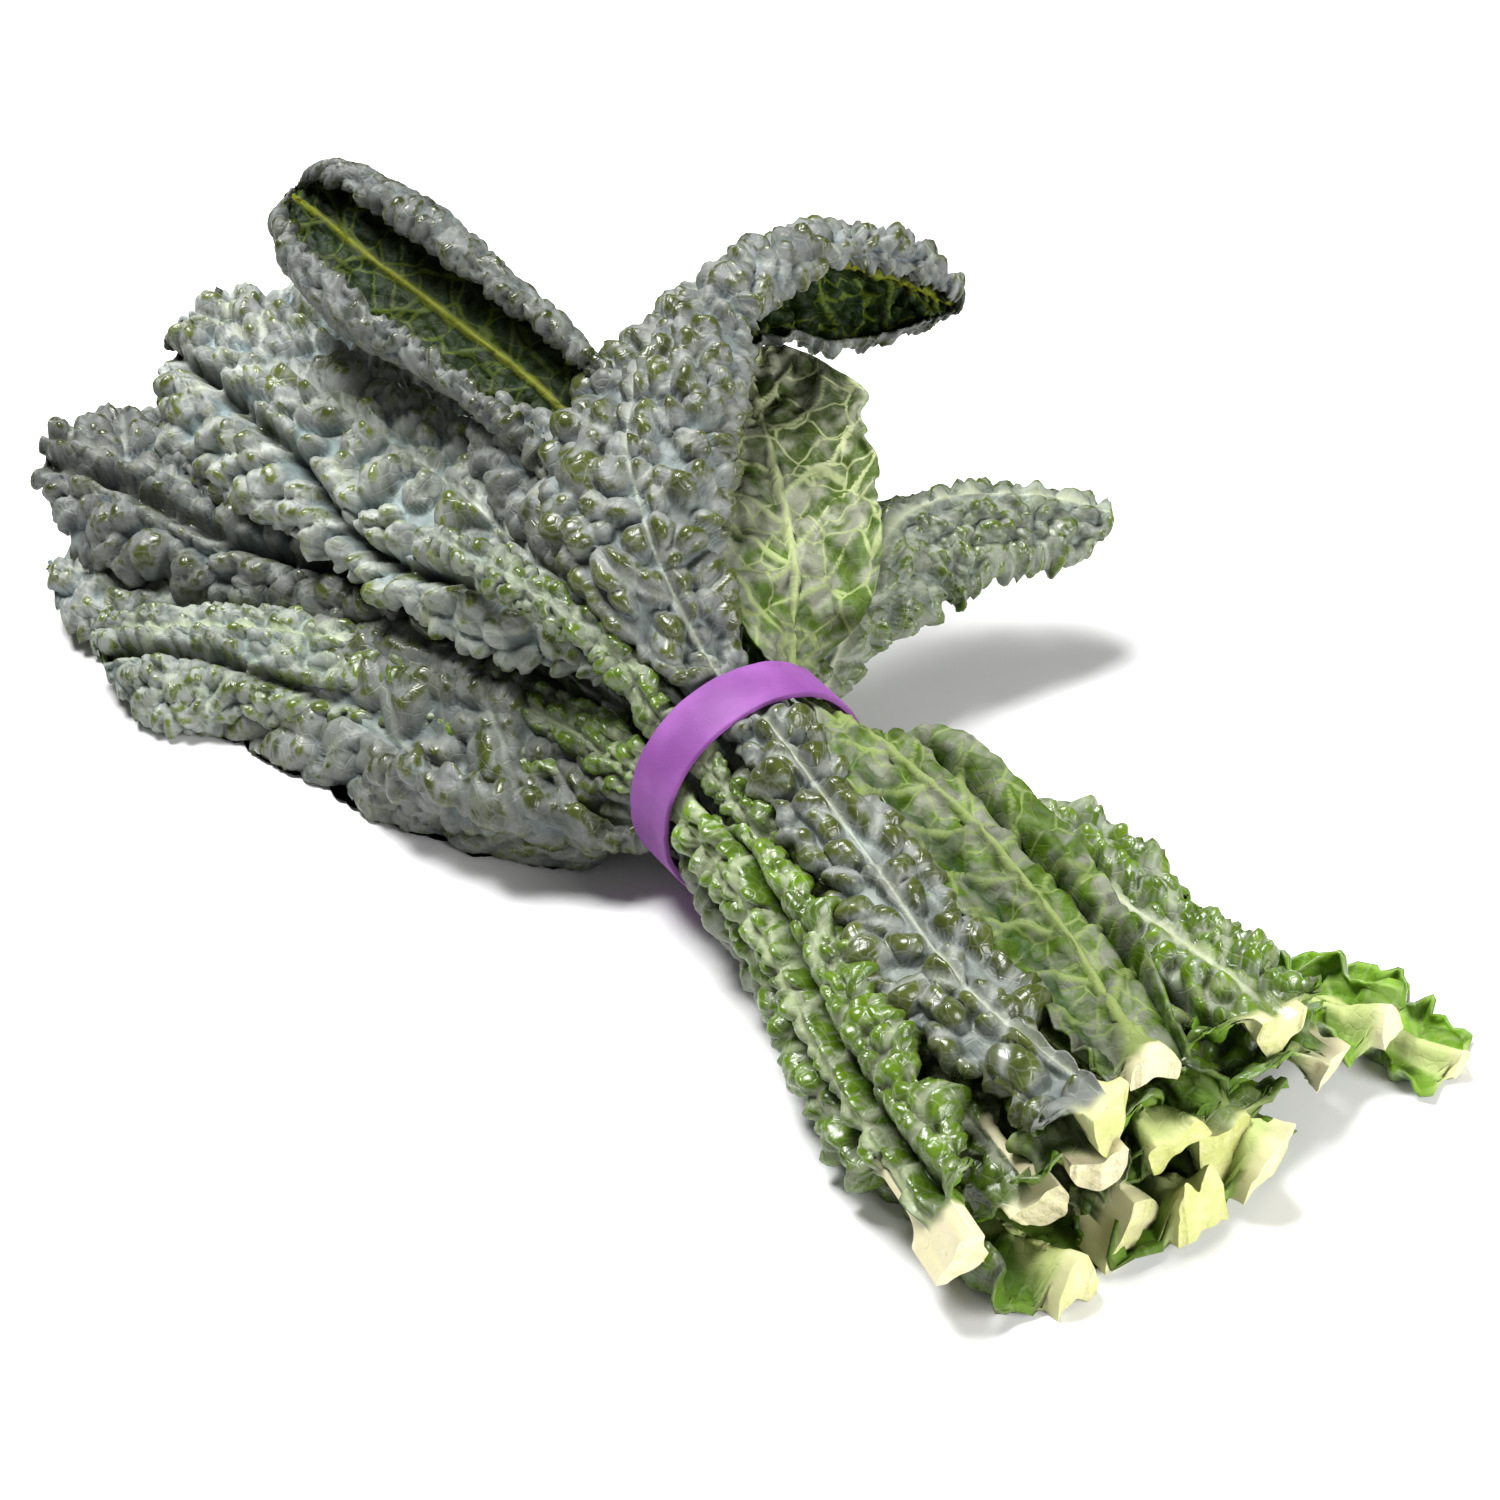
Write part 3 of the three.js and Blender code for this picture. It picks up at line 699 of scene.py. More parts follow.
@dataclass
class Sweep:
    """The smooth upper face of a leaf, before its blisters.

    where is the length of each row from the cut, and rows are the station values there. An
    inner leaf's rows are hidden_step apart between hidden_from, a length from the cut, and the
    band. The tip rounds off through tip_turn degrees, and each half of a row has bend_steps.
    """

    plan: LeafPlan
    hem_width: float = 4.5
    hidden_from: float = 24.0
    hidden_step: float = 2.6
    tip_turn: float = 82.0
    bend_steps: int = 24
    rows: np.ndarray = field(init=False)
    where: np.ndarray = field(init=False)

    def __post_init__(self) -> None:
        """Lays the rows out along the leaf and works out every station row."""
        stations = np.array([*self.plan.stem_side, *self._waist(), *self.plan.tip_side], float)
        fine = np.linspace(0.0, 1.0, 1201)
        path = catmull_rom(stations, fine)
        steps = np.linalg.norm(np.diff(path[:, :3], axis=0), axis=1)
        lengths = np.concatenate([[0.0], np.cumsum(steps)])
        self.total = float(lengths[-1])
        waist = (len(self.plan.stem_side) + 0.5) / (len(stations) - 1)
        self.band_length = float(np.interp(waist, fine, lengths))
        body = self.total - self.plan.tip
        turn = np.linspace(0.0, math.radians(self.tip_turn), int(1.5 * self.plan.tip / self.plan.step))
        self.where = np.concatenate([self._spaced(body), body + self.plan.tip * np.sin(turn[1:])])
        self.rows = catmull_rom(stations, np.interp(self.where, lengths, fine))
        near = catmull_rom(stations, np.interp(self.where + 0.5, lengths, fine))
        far = catmull_rom(stations, np.interp(self.where - 0.5, lengths, fine))
        along = near[:, :3] - far[:, :3]
        self.along = along / np.linalg.norm(along, axis=1, keepdims=True)
        self._face()
        self._widths()

    def _spaced(self, body: float) -> np.ndarray:
        """Rows along the leaf, further apart where the bundle hides it.

        Args:
            body: The length before the tip starts to round off.

        Returns:
            The length of each row.
        """
        even = np.linspace(0.0, body, 2001)
        pitch = np.full(even.shape, self.plan.step)
        if self.plan.inner:
            pitch[(even > self.hidden_from) & (even < self.band_length)] = self.hidden_step
        rows = np.concatenate([[0.0], np.cumsum(np.diff(even) / pitch[1:])])
        return np.interp(np.linspace(0.0, rows[-1], int(rows[-1]) + 1), rows, even)

    def _waist(self) -> list[Station]:
        """The two stations that carry the leaf straight through the band."""
        angle, radius, facing, half_width, roll = self.plan.waist
        y = radius * math.cos(math.radians(angle))
        z = BAND_CENTRE_HEIGHT + radius * math.sin(math.radians(angle))
        shared = (y, z, facing, 0, half_width, WAIST_FOLD, roll, roll)
        return [(WAIST_REACH, *shared), (-WAIST_REACH, *shared)]

    def _face(self) -> None:
        """The blade's up and right directions at each row."""
        turn, lean = np.radians(self.rows[:, 3]), np.radians(self.rows[:, 4])
        up = np.stack([np.sin(lean), np.cos(lean) * np.cos(turn), np.cos(lean) * np.sin(turn)], 1)
        up -= self.along * np.sum(up * self.along, 1, keepdims=True)
        self.up = up / np.linalg.norm(up, axis=1, keepdims=True)
        self.right = np.cross(self.along, self.up)

    def _widths(self) -> None:
        """Half widths of the left and right sides: the bare stem, the torn blade, then its tip."""
        past = np.clip((self.where - self.total + self.plan.tip) / self.plan.tip, 0.0, 0.99)
        blade = self.rows[:, 5] * np.sqrt(1.0 - past**2)
        ragged = 1.0 + 0.07 * wander(self.where / 9.0, self.where * 0 + 0.5, self.plan.seed + 31)
        stem = self.plan.stem
        wide = np.maximum(blade * ragged, np.where(past > 0, 0.0, stem)) - stem
        torn = [smooth_step(self.where, start - 0.5, 1.35 * start + 1.5) for start in self.plan.bare]
        self.half_width = np.stack([stem + wide * part for part in torn], 1)

    def surface(self, across: np.ndarray) -> tuple[np.ndarray, np.ndarray]:
        """Points and outward directions of the rolled blade.

        Args:
            across: Places from margin to margin, from -1 to 1.

        Returns:
            Points in millimetres and unit directions, each rows by places by three.
        """
        points = np.zeros((len(self.where), len(across), 3))
        normals = np.zeros_like(points)
        bare = min(self.plan.bare)
        on_stem = smooth_step(self.where, bare, bare + 8.0)[:, None]
        fold = np.radians(self.rows[:, 6])[:, None] * on_stem
        bends = np.concatenate([(np.arange(self.bend_steps) + 0.5) / self.bend_steps, [1.0]])
        for k, v in enumerate(across):
            roll = np.radians(self.rows[:, 7 if v < 0 else 8])[:, None] * on_stem
            sign = -1.0 if v < 0 else 1.0
            width = self.half_width[:, :1] if v < 0 else self.half_width[:, 1:]
            reach = bends * abs(v)
            curl = np.clip((reach - self.plan.curl_from) / (1 - self.plan.curl_from), 0, 1)
            heading = fold + roll * curl**self.plan.curl_power
            margin = (1 - reach[None, :]) * width
            hemmed = 1 - smooth_step(margin, 0, self.hem_width)
            heading += math.radians(self.plan.hem) * on_stem * hemmed
            side = np.cos(heading[:, :-1]).mean(1) * width[:, 0] * abs(v)
            drop = np.sin(heading[:, :-1]).mean(1) * width[:, 0] * abs(v)
            end = heading[:, -1]
            points[:, k] = (
                self.rows[:, :3] + self.right * (sign * side)[:, None] - self.up * drop[:, None]
            )
            normals[:, k] = self.up * np.cos(end)[:, None] + self.right * (sign * np.sin(end))[:, None]
        return points, normals


@dataclass
class Relief:
    """Blisters, veins and frills of a leaf, as heights over its smooth upper face.

    s and w are lengths along and across the leaf, edge is the length to the margin, reach is
    1 at the margin, and rim is 1 where the margin's crimped bubbles have taken over from the
    big ones. full brings a bubble's height in cells to about 1.
    """

    sweep: Sweep
    across: np.ndarray
    full: float = 1.5

    def __post_init__(self) -> None:
        """Works out every field on the leaf's grid."""
        self.plan, self.look = self.sweep.plan, self.sweep.plan.blisters
        self.seed = self.plan.seed * 101
        left, right = self.sweep.half_width[:, :1], self.sweep.half_width[:, 1:]
        half = np.where(self.across[None, :] < 0, left, right)
        self.s = np.repeat(self.sweep.where[:, None], len(self.across), 1)
        self.w = self.across[None, :] * half
        self.edge = half - np.abs(self.w)
        self.reach = np.clip(np.abs(self.w) / np.maximum(half, 1.0), 0, 1)
        self.rim = smooth_step(self.reach, self.look.rim_from, 0.97)
        sx, wx = self.s + self._stray(0), self.w + self._stray(2)
        self._veins(sx, wx)
        self._bare_stem()
        self._calm()
        self._crowd(sx, wx)
        self._raise()
        self._fold()
        self._tear()
        self._wax()
        self._seams()
        self._light()

    def _stray(self, number: int) -> np.ndarray:
        """How far blisters stray from straight rows, over long and over short distances."""
        long = 2.4 * wander(self.s / 13, self.w / 13, self.seed + number)
        return long + 0.9 * wander(self.s / 5, self.w / 5, self.seed + number + 1)

    def _trend(self, trend: Trend) -> np.ndarray:
        """A trend's value at each point."""
        return trend.at(self.s, self.sweep.band_length, self.sweep.total)

    def _veins(self, sx: np.ndarray, wx: np.ndarray) -> None:
        """The side veins, which leave the midrib in pairs and lean towards the tip."""
        look = self.look
        left = np.where(self.w < 0, 0.5, 0.0)
        q = (sx - look.vein_slope * np.abs(wx)) / look.vein_spacing + left
        line = np.abs(q - np.round(q)) * look.vein_spacing / math.hypot(1.0, look.vein_slope)
        thick = 1.0 - 0.4 * self.reach
        self.vein = np.exp(-((line / thick) ** 2)) * (1 - smooth_step(self.reach, 0.75, 1.0))
        self.vein *= smooth_step(self.s, 8.0, 22.0)

    def _bare_stem(self) -> None:
        """Where there is stem and no blade, with a ragged end."""
        plan, s, w = self.plan, self.s, self.w
        begin = np.where(np.abs(w) > 0.2 * plan.stem, np.where(w < 0, *plan.bare), min(plan.bare))
        ragged = s + 1.2 * wander(s / 3, w / 3, self.seed + 10)
        self.bare = 1 - smooth_step(ragged, begin - 2.0, begin + 1.0)
        self.pith = np.full(s.shape, plan.pith)

    def _calm(self) -> None:
        """Where blisters rise, clear of midrib, bare stem and band, and where the midrib shows."""
        look, bare = self.look, min(self.plan.bare)
        rib_width = look.rib_width * np.interp(self.s, [0, self.sweep.total], [1.4, 0.6])
        calm = 1 - np.exp(-((self.w / (rib_width * 0.9)) ** 2))
        calm = calm * (1 - 0.45 * self.vein)
        calm *= smooth_step(self.s, bare - 1, bare + 6)
        calm *= 1 - self.bare
        waist = np.abs(self.s - self.sweep.band_length)
        self.calm = calm * (0.05 + 0.95 * smooth_step(waist, 6.2, 10.5))
        rib = np.exp(-((self.w / (rib_width * 0.6)) ** 4))
        self.rib = look.rib_show * rib * smooth_step(self.s, 6, 12)

    def _crowd(self, sx: np.ndarray, wx: np.ndarray) -> None:
        """Crowds the blade with blisters, with knobs on them and crimped ones along the rim.

        Args:
            sx: Lengths along the leaf, straying a little.
            wx: Lengths across the leaf, straying a little.
        """
        sweep, look = self.sweep, self.look
        self.size = self._trend(look.finer)
        sizes = look.finer.at(sweep.where, sweep.band_length, sweep.total)
        run = np.concatenate([[0.0], np.cumsum(2 * np.diff(sweep.where) / (sizes[1:] + sizes[:-1]))])
        ux, vx = run[:, None] + (sx - self.s) / self.size, wx / self.size
        skew = (ux / look.along) * 0.15
        plain = self._trend(look.plain)
        self.big = Bubbles(self.seed + 5, foot=0.7).at(ux / look.along, vx / look.across + skew, plain)
        self.crimp = Bubbles(self.seed + 12, foot=0.7).at(ux / look.edge_size, vx / look.edge_size)
        self.knob = Bubbles(self.seed + 6, foot=0.75).at(ux / look.small, vx / look.small)
        self.fine = Bubbles(self.seed + 7).at(sx / 1.6, wx / 1.6)
        self.knobby = self._trend(look.knobby)
        self.level = self._towards_rim(self.big.height, self.crimp.height)
        self.seam = self._towards_rim(self.big.seam, self.crimp.seam)

    def _towards_rim(self, big: np.ndarray, crimp: np.ndarray) -> np.ndarray:
        """The big blisters' value, which gives way to the crimped ones' towards the rim."""
        return big * (1 - self.rim) + crimp * self.rim

    def _raise(self) -> None:
        """The height of the blisters and how far they bulge over their feet."""
        look, big, rim = self.look, self.big, self.rim
        height = look.height * (1 - 0.85 * rim) * big.height
        height += look.edge_height * (0.08 + 0.92 * rim) * self.crimp.height
        height += look.small_height * self.knobby * (0.2 + 0.8 * np.sqrt(big.inside)) * self.knob.height
        height = self.full * height * np.sqrt(self.size) + 0.18 * self.fine.height
        height *= look.middle + (1 - look.middle) * rim
        self.height = (height - 0.4 * look.height) * self.calm
        swell = look.bulge * 4 * (big.inside * (1 - big.inside)) * (1 - 0.7 * rim) * self.calm
        self.swell = (swell * big.away[0], swell * big.away[1])

    def _fold(self) -> None:
        """Adds frills, waves and lengthwise folds with painted shade along them, and the trough of the
        stem.
        """
        plan, look, s, w = self.plan, self.look, self.s, self.w
        side = np.sign(w)
        rim_wave = wander(s / 4.2, side, self.seed + 8) + 0.5 * wander(s / 2.1, w * 0 + 3, self.seed + 9)
        begin = np.where(w < 0, *plan.bare)
        frill = self._trend(look.frill) * smooth_step(-self.edge, -9.0, 0.0)
        self.height += frill * rim_wave * smooth_step(s, begin + 1.0, begin + 6.0)
        self.height -= 0.3 * self.vein * self.calm
        self.height += look.wave * wander(s / 24 + 7, w / 17 + 3, self.seed + 11) * self.reach * self.calm
        on_stem = 1 - smooth_step(s, min(plan.bare) - 1.0, min(plan.bare) + 8.0)
        trough = np.exp(-((w / (0.55 * plan.stem)) ** 2))
        self.height += on_stem * (0.9 * wander(w / 3.5, s / 14, self.seed + 17) - plan.trough * trough)
        self.gap = np.zeros(s.shape)
        for place, depth, half_width, sway in plan.grooves:
            middle = place + sway * wander(s / 45 + place, s * 0 + 5, self.seed + 13)
            fold = np.exp(-(((w - middle) / half_width) ** 2)) * self.calm
            fold *= 1 - smooth_step(s, plan.grooved_to - 25.0, plan.grooved_to)
            self.height -= depth * fold
            # The fold's painted shade, darkest in its middle.
            self.gap = np.maximum(self.gap, fold**2)

    def _tear(self) -> None:
        """The torn start of the blade: how far it flaps up, and how far it is pulled along the leaf."""
        plan, s, w = self.plan, self.s, self.w
        begin = np.where(w < 0, *plan.bare)
        torn = (s > begin) * np.exp(-(s - begin) / 5.0) * smooth_step(np.abs(w), plan.stem, plan.stem + 3)
        self.height += 2.6 * torn * wander(w / 2.4, s / 4.0, self.seed + 14)
        pull = 3.2 * wander(w / 3.0, w * 0 + 4, self.seed + 15)
        pull += 1.2 * wander(w / 1.3, w * 0 + 6, self.seed + 16)
        self.pull = torn * pull

    def _wax(self) -> None:
        """Where the wax is rubbed off, and how green the blade is."""
        tall = np.clip(self.full * self.level, 0, 1.0)
        top = (0.35 + 0.65 * tall) * (1 - self.knobby * (1 - self.knob.inside))
        green, bare = self._trend(self.look.green), min(self.plan.bare)
        by_stem = 1 - smooth_step(self.s, bare + 4, bare + 14)
        crest = self._rubbed(top * self.calm, self._trend(self.look.polish)) * self.calm
        self.crest = np.maximum(crest, 0.68 * by_stem * green)
        self.green = np.clip(green, 0, 1)

    @staticmethod
    def _rubbed(top: np.ndarray, share: np.ndarray) -> np.ndarray:
        """Marks the given share of the blade, the highest blisters, where the wax is rubbed off.

        Args:
            top: How high each point stands among the blisters.
            share: The share of the blade to mark, at each point.

        Returns:
            About 0.63 at the edge of each mark, and more inside it.
        """
        steps = np.linspace(0.0, 1.0, 101)
        level = np.interp(1.0 - share, steps, np.quantile(top, steps))
        return np.clip(0.63 + 0.9 * (top - level), 0.0, 1.3)

    def _seams(self) -> None:
        """The painted shade in the creases, the valleys and the pale threads between the blisters."""
        look, seam = self.look, self.seam
        # Painted shade: the seams, the gaps between knobs and the low ground between blisters are
        # darkened.
        between_knobs = 0.65 * self.knobby * self.knob.seam * np.maximum(self.big.inside, self.rim)
        painted_crease_shade = np.clip(seam + between_knobs, 0, 1) * self.calm
        self.valley = (1 - smooth_step(self.big.inside, 0.0, 0.35)) * (1 - self.rim)
        low = 1 - smooth_step(self.level, look.thread, look.thread + 0.2)
        self.painted_crease_shade = np.maximum(painted_crease_shade, 0.6 * low * (1 - self.valley) * self.calm)
        self.net = np.maximum(seam, 0.6 * low) * self._trend(look.lines) * smooth_step(self.s, 8, 14)
        self.lines = np.maximum(0.45 * seam, self.vein)
        self.raised_lines = look.raised * seam * smooth_step(self.edge, 0, 5)

    def _light(self) -> None:
        """Each blister's random lightness, with painted shade at its foot and the leaf's painted light and
        shade over all.
        """
        near = self._towards_rim(self.big.inside, self.crimp.inside)
        # Painted shade at each blister's foot.
        feet = np.exp(-(((near - 0.12) / 0.14) ** 2)) * self.calm
        self.tone = (0.80 + 0.40 * self.big.number) * (1 - self.look.painted_foot_shade * feet)
        # The leaf's painted light and shade, over all and along its length.
        self.tone *= self.plan.light * self._trend(self.look.lit)

    def rib_depth(self) -> np.ndarray:
        """How far the midrib stands out below the blade: deep and blocky at the stem."""
        sweep, plan = self.sweep, self.plan
        half = (sweep.band_length + sweep.total) / 2
        bare, stem, deep = min(plan.bare), plan.stem, plan.deep
        wide, thick = plan.rib
        places = [0, bare, bare + 22, half, sweep.total]
        depth = np.interp(self.s, places, [deep, 0.9 * deep, thick, 0.5 * thick, 0.4])
        spread = np.interp(self.s, [0, bare, bare + 22, sweep.total], [stem, stem, wide, 0.5 * wide])
        power = np.interp(self.s, [0, bare, bare + 25], [0.4, 0.4, 1.5])
        rib = depth * np.clip(1 - (self.w / spread) ** 2, 0, 1) ** power
        rib *= 1 + 0.34 * wander(self.w / 3.2, self.s / 14, self.seed + 18)
        return rib + 0.5 * self.vein * smooth_step(self.edge, 0, 5) + self.raised_lines


@dataclass
class Leaf:
    """A whole leaf: cut stem, midrib and blistered blade in one closed piece.

    blade is its thickness. The cut is rough by cut_rough, and its slant fades over cut_reach.
    """

    plan: LeafPlan
    shift: np.ndarray
    blade: float = 0.75
    cut_reach: float = 6.0
    cut_rough: float = 0.7

    def build(self) -> Object:
        """Makes the leaf's mesh.

        Returns:
            The finished object.
        """
        sweep = Sweep(self.plan)
        columns = 2 * int(np.max(sweep.half_width) / self.plan.step)
        across = np.linspace(-1.0, 1.0, columns + 1)
        points, normals = sweep.surface(across)
        relief = Relief(sweep, across)
        upper = points + normals * relief.height[..., None] + sweep.along[:, None] * relief.pull[..., None]
        along = np.gradient(points, axis=0)
        along /= np.maximum(np.linalg.norm(along, axis=2, keepdims=True), 1e-9)
        sideways = np.cross(along, normals)
        upper += along * relief.swell[0][..., None] + sideways * relief.swell[1][..., None]
        facing = np.cross(np.gradient(upper, axis=1), np.gradient(upper, axis=0))
        facing /= np.maximum(np.linalg.norm(facing, axis=2, keepdims=True), 1e-9)
        lower = upper - facing * self.blade - normals * relief.rib_depth()[..., None]
        # The face that looks down stays just clear of the surface and the other lies on top of it.
        upright = self.blade * smooth_step(sweep.up[:, 2:], -0.2, 0.2)
        for sheet, lift in ((upper, upright), (lower, self.blade - upright)):
            self._slant(sheet, sweep)
            sheet[..., 2] = np.maximum(sheet[..., 2], GROUND_GAP + lift)

        piece, row, column = self._sheet(len(sweep.where), len(across))
        both = np.concatenate([upper[row, column], lower[row, column]])
        mesh = piece.data
        mesh.vertices.foreach_set("co", ((both + self.shift) * MM).ravel())
        self._paint(mesh, relief, row, column)
        self._mark_cut(mesh, row)
        mesh.update()
        return piece

    def _slant(self, sheet: np.ndarray, sweep: Sweep) -> None:
        """Turns and roughens the flat cut at the stem's end a little, as a blunt knife leaves it.

        Args:
            sheet: Points of one face of the leaf, changed in place.
            sweep: The leaf's rows.
        """
        tilt = np.random.default_rng(self.plan.seed + 500).uniform(-0.28, 0.28, 2)
        flat = sheet[0] - sweep.rows[0, :3]
        flat -= np.outer(flat @ sweep.along[0], sweep.along[0])
        sheet[0] = sweep.rows[0, :3] + flat
        for k in range(int(self.cut_reach / self.plan.step)):
            out = sheet[k] - sweep.rows[k, :3]
            fade = 1 - k * self.plan.step / self.cut_reach
            beside, above = out @ sweep.right[k], out @ sweep.up[k]
            reach = beside * tilt[0] + above * tilt[1]
            reach += self.cut_rough * wander(beside / 2.6, above / 2.6, self.plan.seed + 510)
            sheet[k] += np.outer(reach * fade, sweep.along[k])

    def _sheet(self, rows: int, columns: int) -> tuple[Object, np.ndarray, np.ndarray]:
        """A flat grid given a second face and a rim.

        Args:
            rows: Vertices along the leaf.
            columns: Vertices across it.

        Returns:
            The object, and the row and column of each vertex of its first face.
        """
        bpy.ops.object.select_all(action="DESELECT")
        bpy.ops.mesh.primitive_grid_add(
            x_subdivisions=columns - 1, y_subdivisions=rows - 1, size=2.0, calc_uvs=False
        )
        piece = bpy.context.object
        piece.name = piece.data.name = f"{self.plan.name}_blistered"
        flat = read_all(piece.data.vertices, "co", 3)
        column = np.rint((flat[:, 0] + 1) / 2 * (columns - 1)).astype(int)
        row = np.rint((flat[:, 1] + 1) / 2 * (rows - 1)).astype(int)
        apply_modifier(piece, "SOLIDIFY", thickness=0.01, offset=-1.0)
        bpy.ops.object.shade_smooth()
        return piece, row, column

    def _paint(self, mesh: Mesh, relief: Relief, row: np.ndarray, column: np.ndarray) -> None:
        """Writes the fields that the materials read.

        Args:
            mesh: The leaf's mesh.
            relief: The leaf's fields.
            row: The row of each upper vertex.
            column: The column of each upper vertex.
        """
        s, w = relief.s[row, column], relief.w[row, column]
        total = relief.sweep.total
        bare = min(self.plan.bare)
        wide = self.plan.rib[0]
        rib_width = np.interp(s, [0, bare, bare + 15, total], [5.0, 5.0, 0.6 * wide, 0.3 * wide])
        below = np.exp(-((w / rib_width) ** 6))
        # Three of these fields carry painted light and shade: the creases, the folds and the per-blister
        # lightness.
        shared = (
            "crest", "vein", "net", "lines", "painted_crease_shade", "valley", "bare", "tone", "green", "pith", "gap",
        )
        fields = {name: (getattr(relief, name)[row, column],) * 2 for name in shared}
        fields["rib"] = (relief.rib[row, column], below)
        fields["under"] = (np.zeros(len(row)), np.ones(len(row)))
        for name, (first, second) in fields.items():
            layer = mesh.attributes.new(name, "FLOAT", "POINT")
            layer.data.foreach_set("value", np.concatenate([first, second]).astype(np.float32))
        flat = np.stack([s, w, np.full(len(s), 37.0 * self.plan.seed)], 1) * MM
        layer = mesh.attributes.new("flat", "FLOAT_VECTOR", "POINT")
        layer.data.foreach_set("vector", np.concatenate([flat, flat]).ravel().astype(np.float32))

    def _mark_cut(self, mesh: Mesh, row: np.ndarray) -> None:
        """Gives the cut face its own material slot and a sharp edge.

        Args:
            mesh: The leaf's mesh.
            row: The row of each upper vertex.
        """
        first = np.concatenate([row, row]) == 0
        ends = read_all(mesh.edges, "vertices", 2, int)
        mesh.edges.foreach_set("use_edge_sharp", first[ends].all(1))
        corners = read_all(mesh.loops, "vertex_index", 1, int)[:, 0]
        starts = read_all(mesh.polygons, "loop_start", 1, int)[:, 0]
        cut = np.minimum.reduceat(first[corners].astype(int), starts)
        mesh.polygons.foreach_set("material_index", cut)

    def dress(self, piece: Object, blade: Material, cut: Material) -> None:
        """Gives the leaf its materials and ties it to its node and body."""
        piece.data.materials.append(blade)
        piece.data.materials.append(cut)
        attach(piece, BODY)
        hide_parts(self.plan.name)


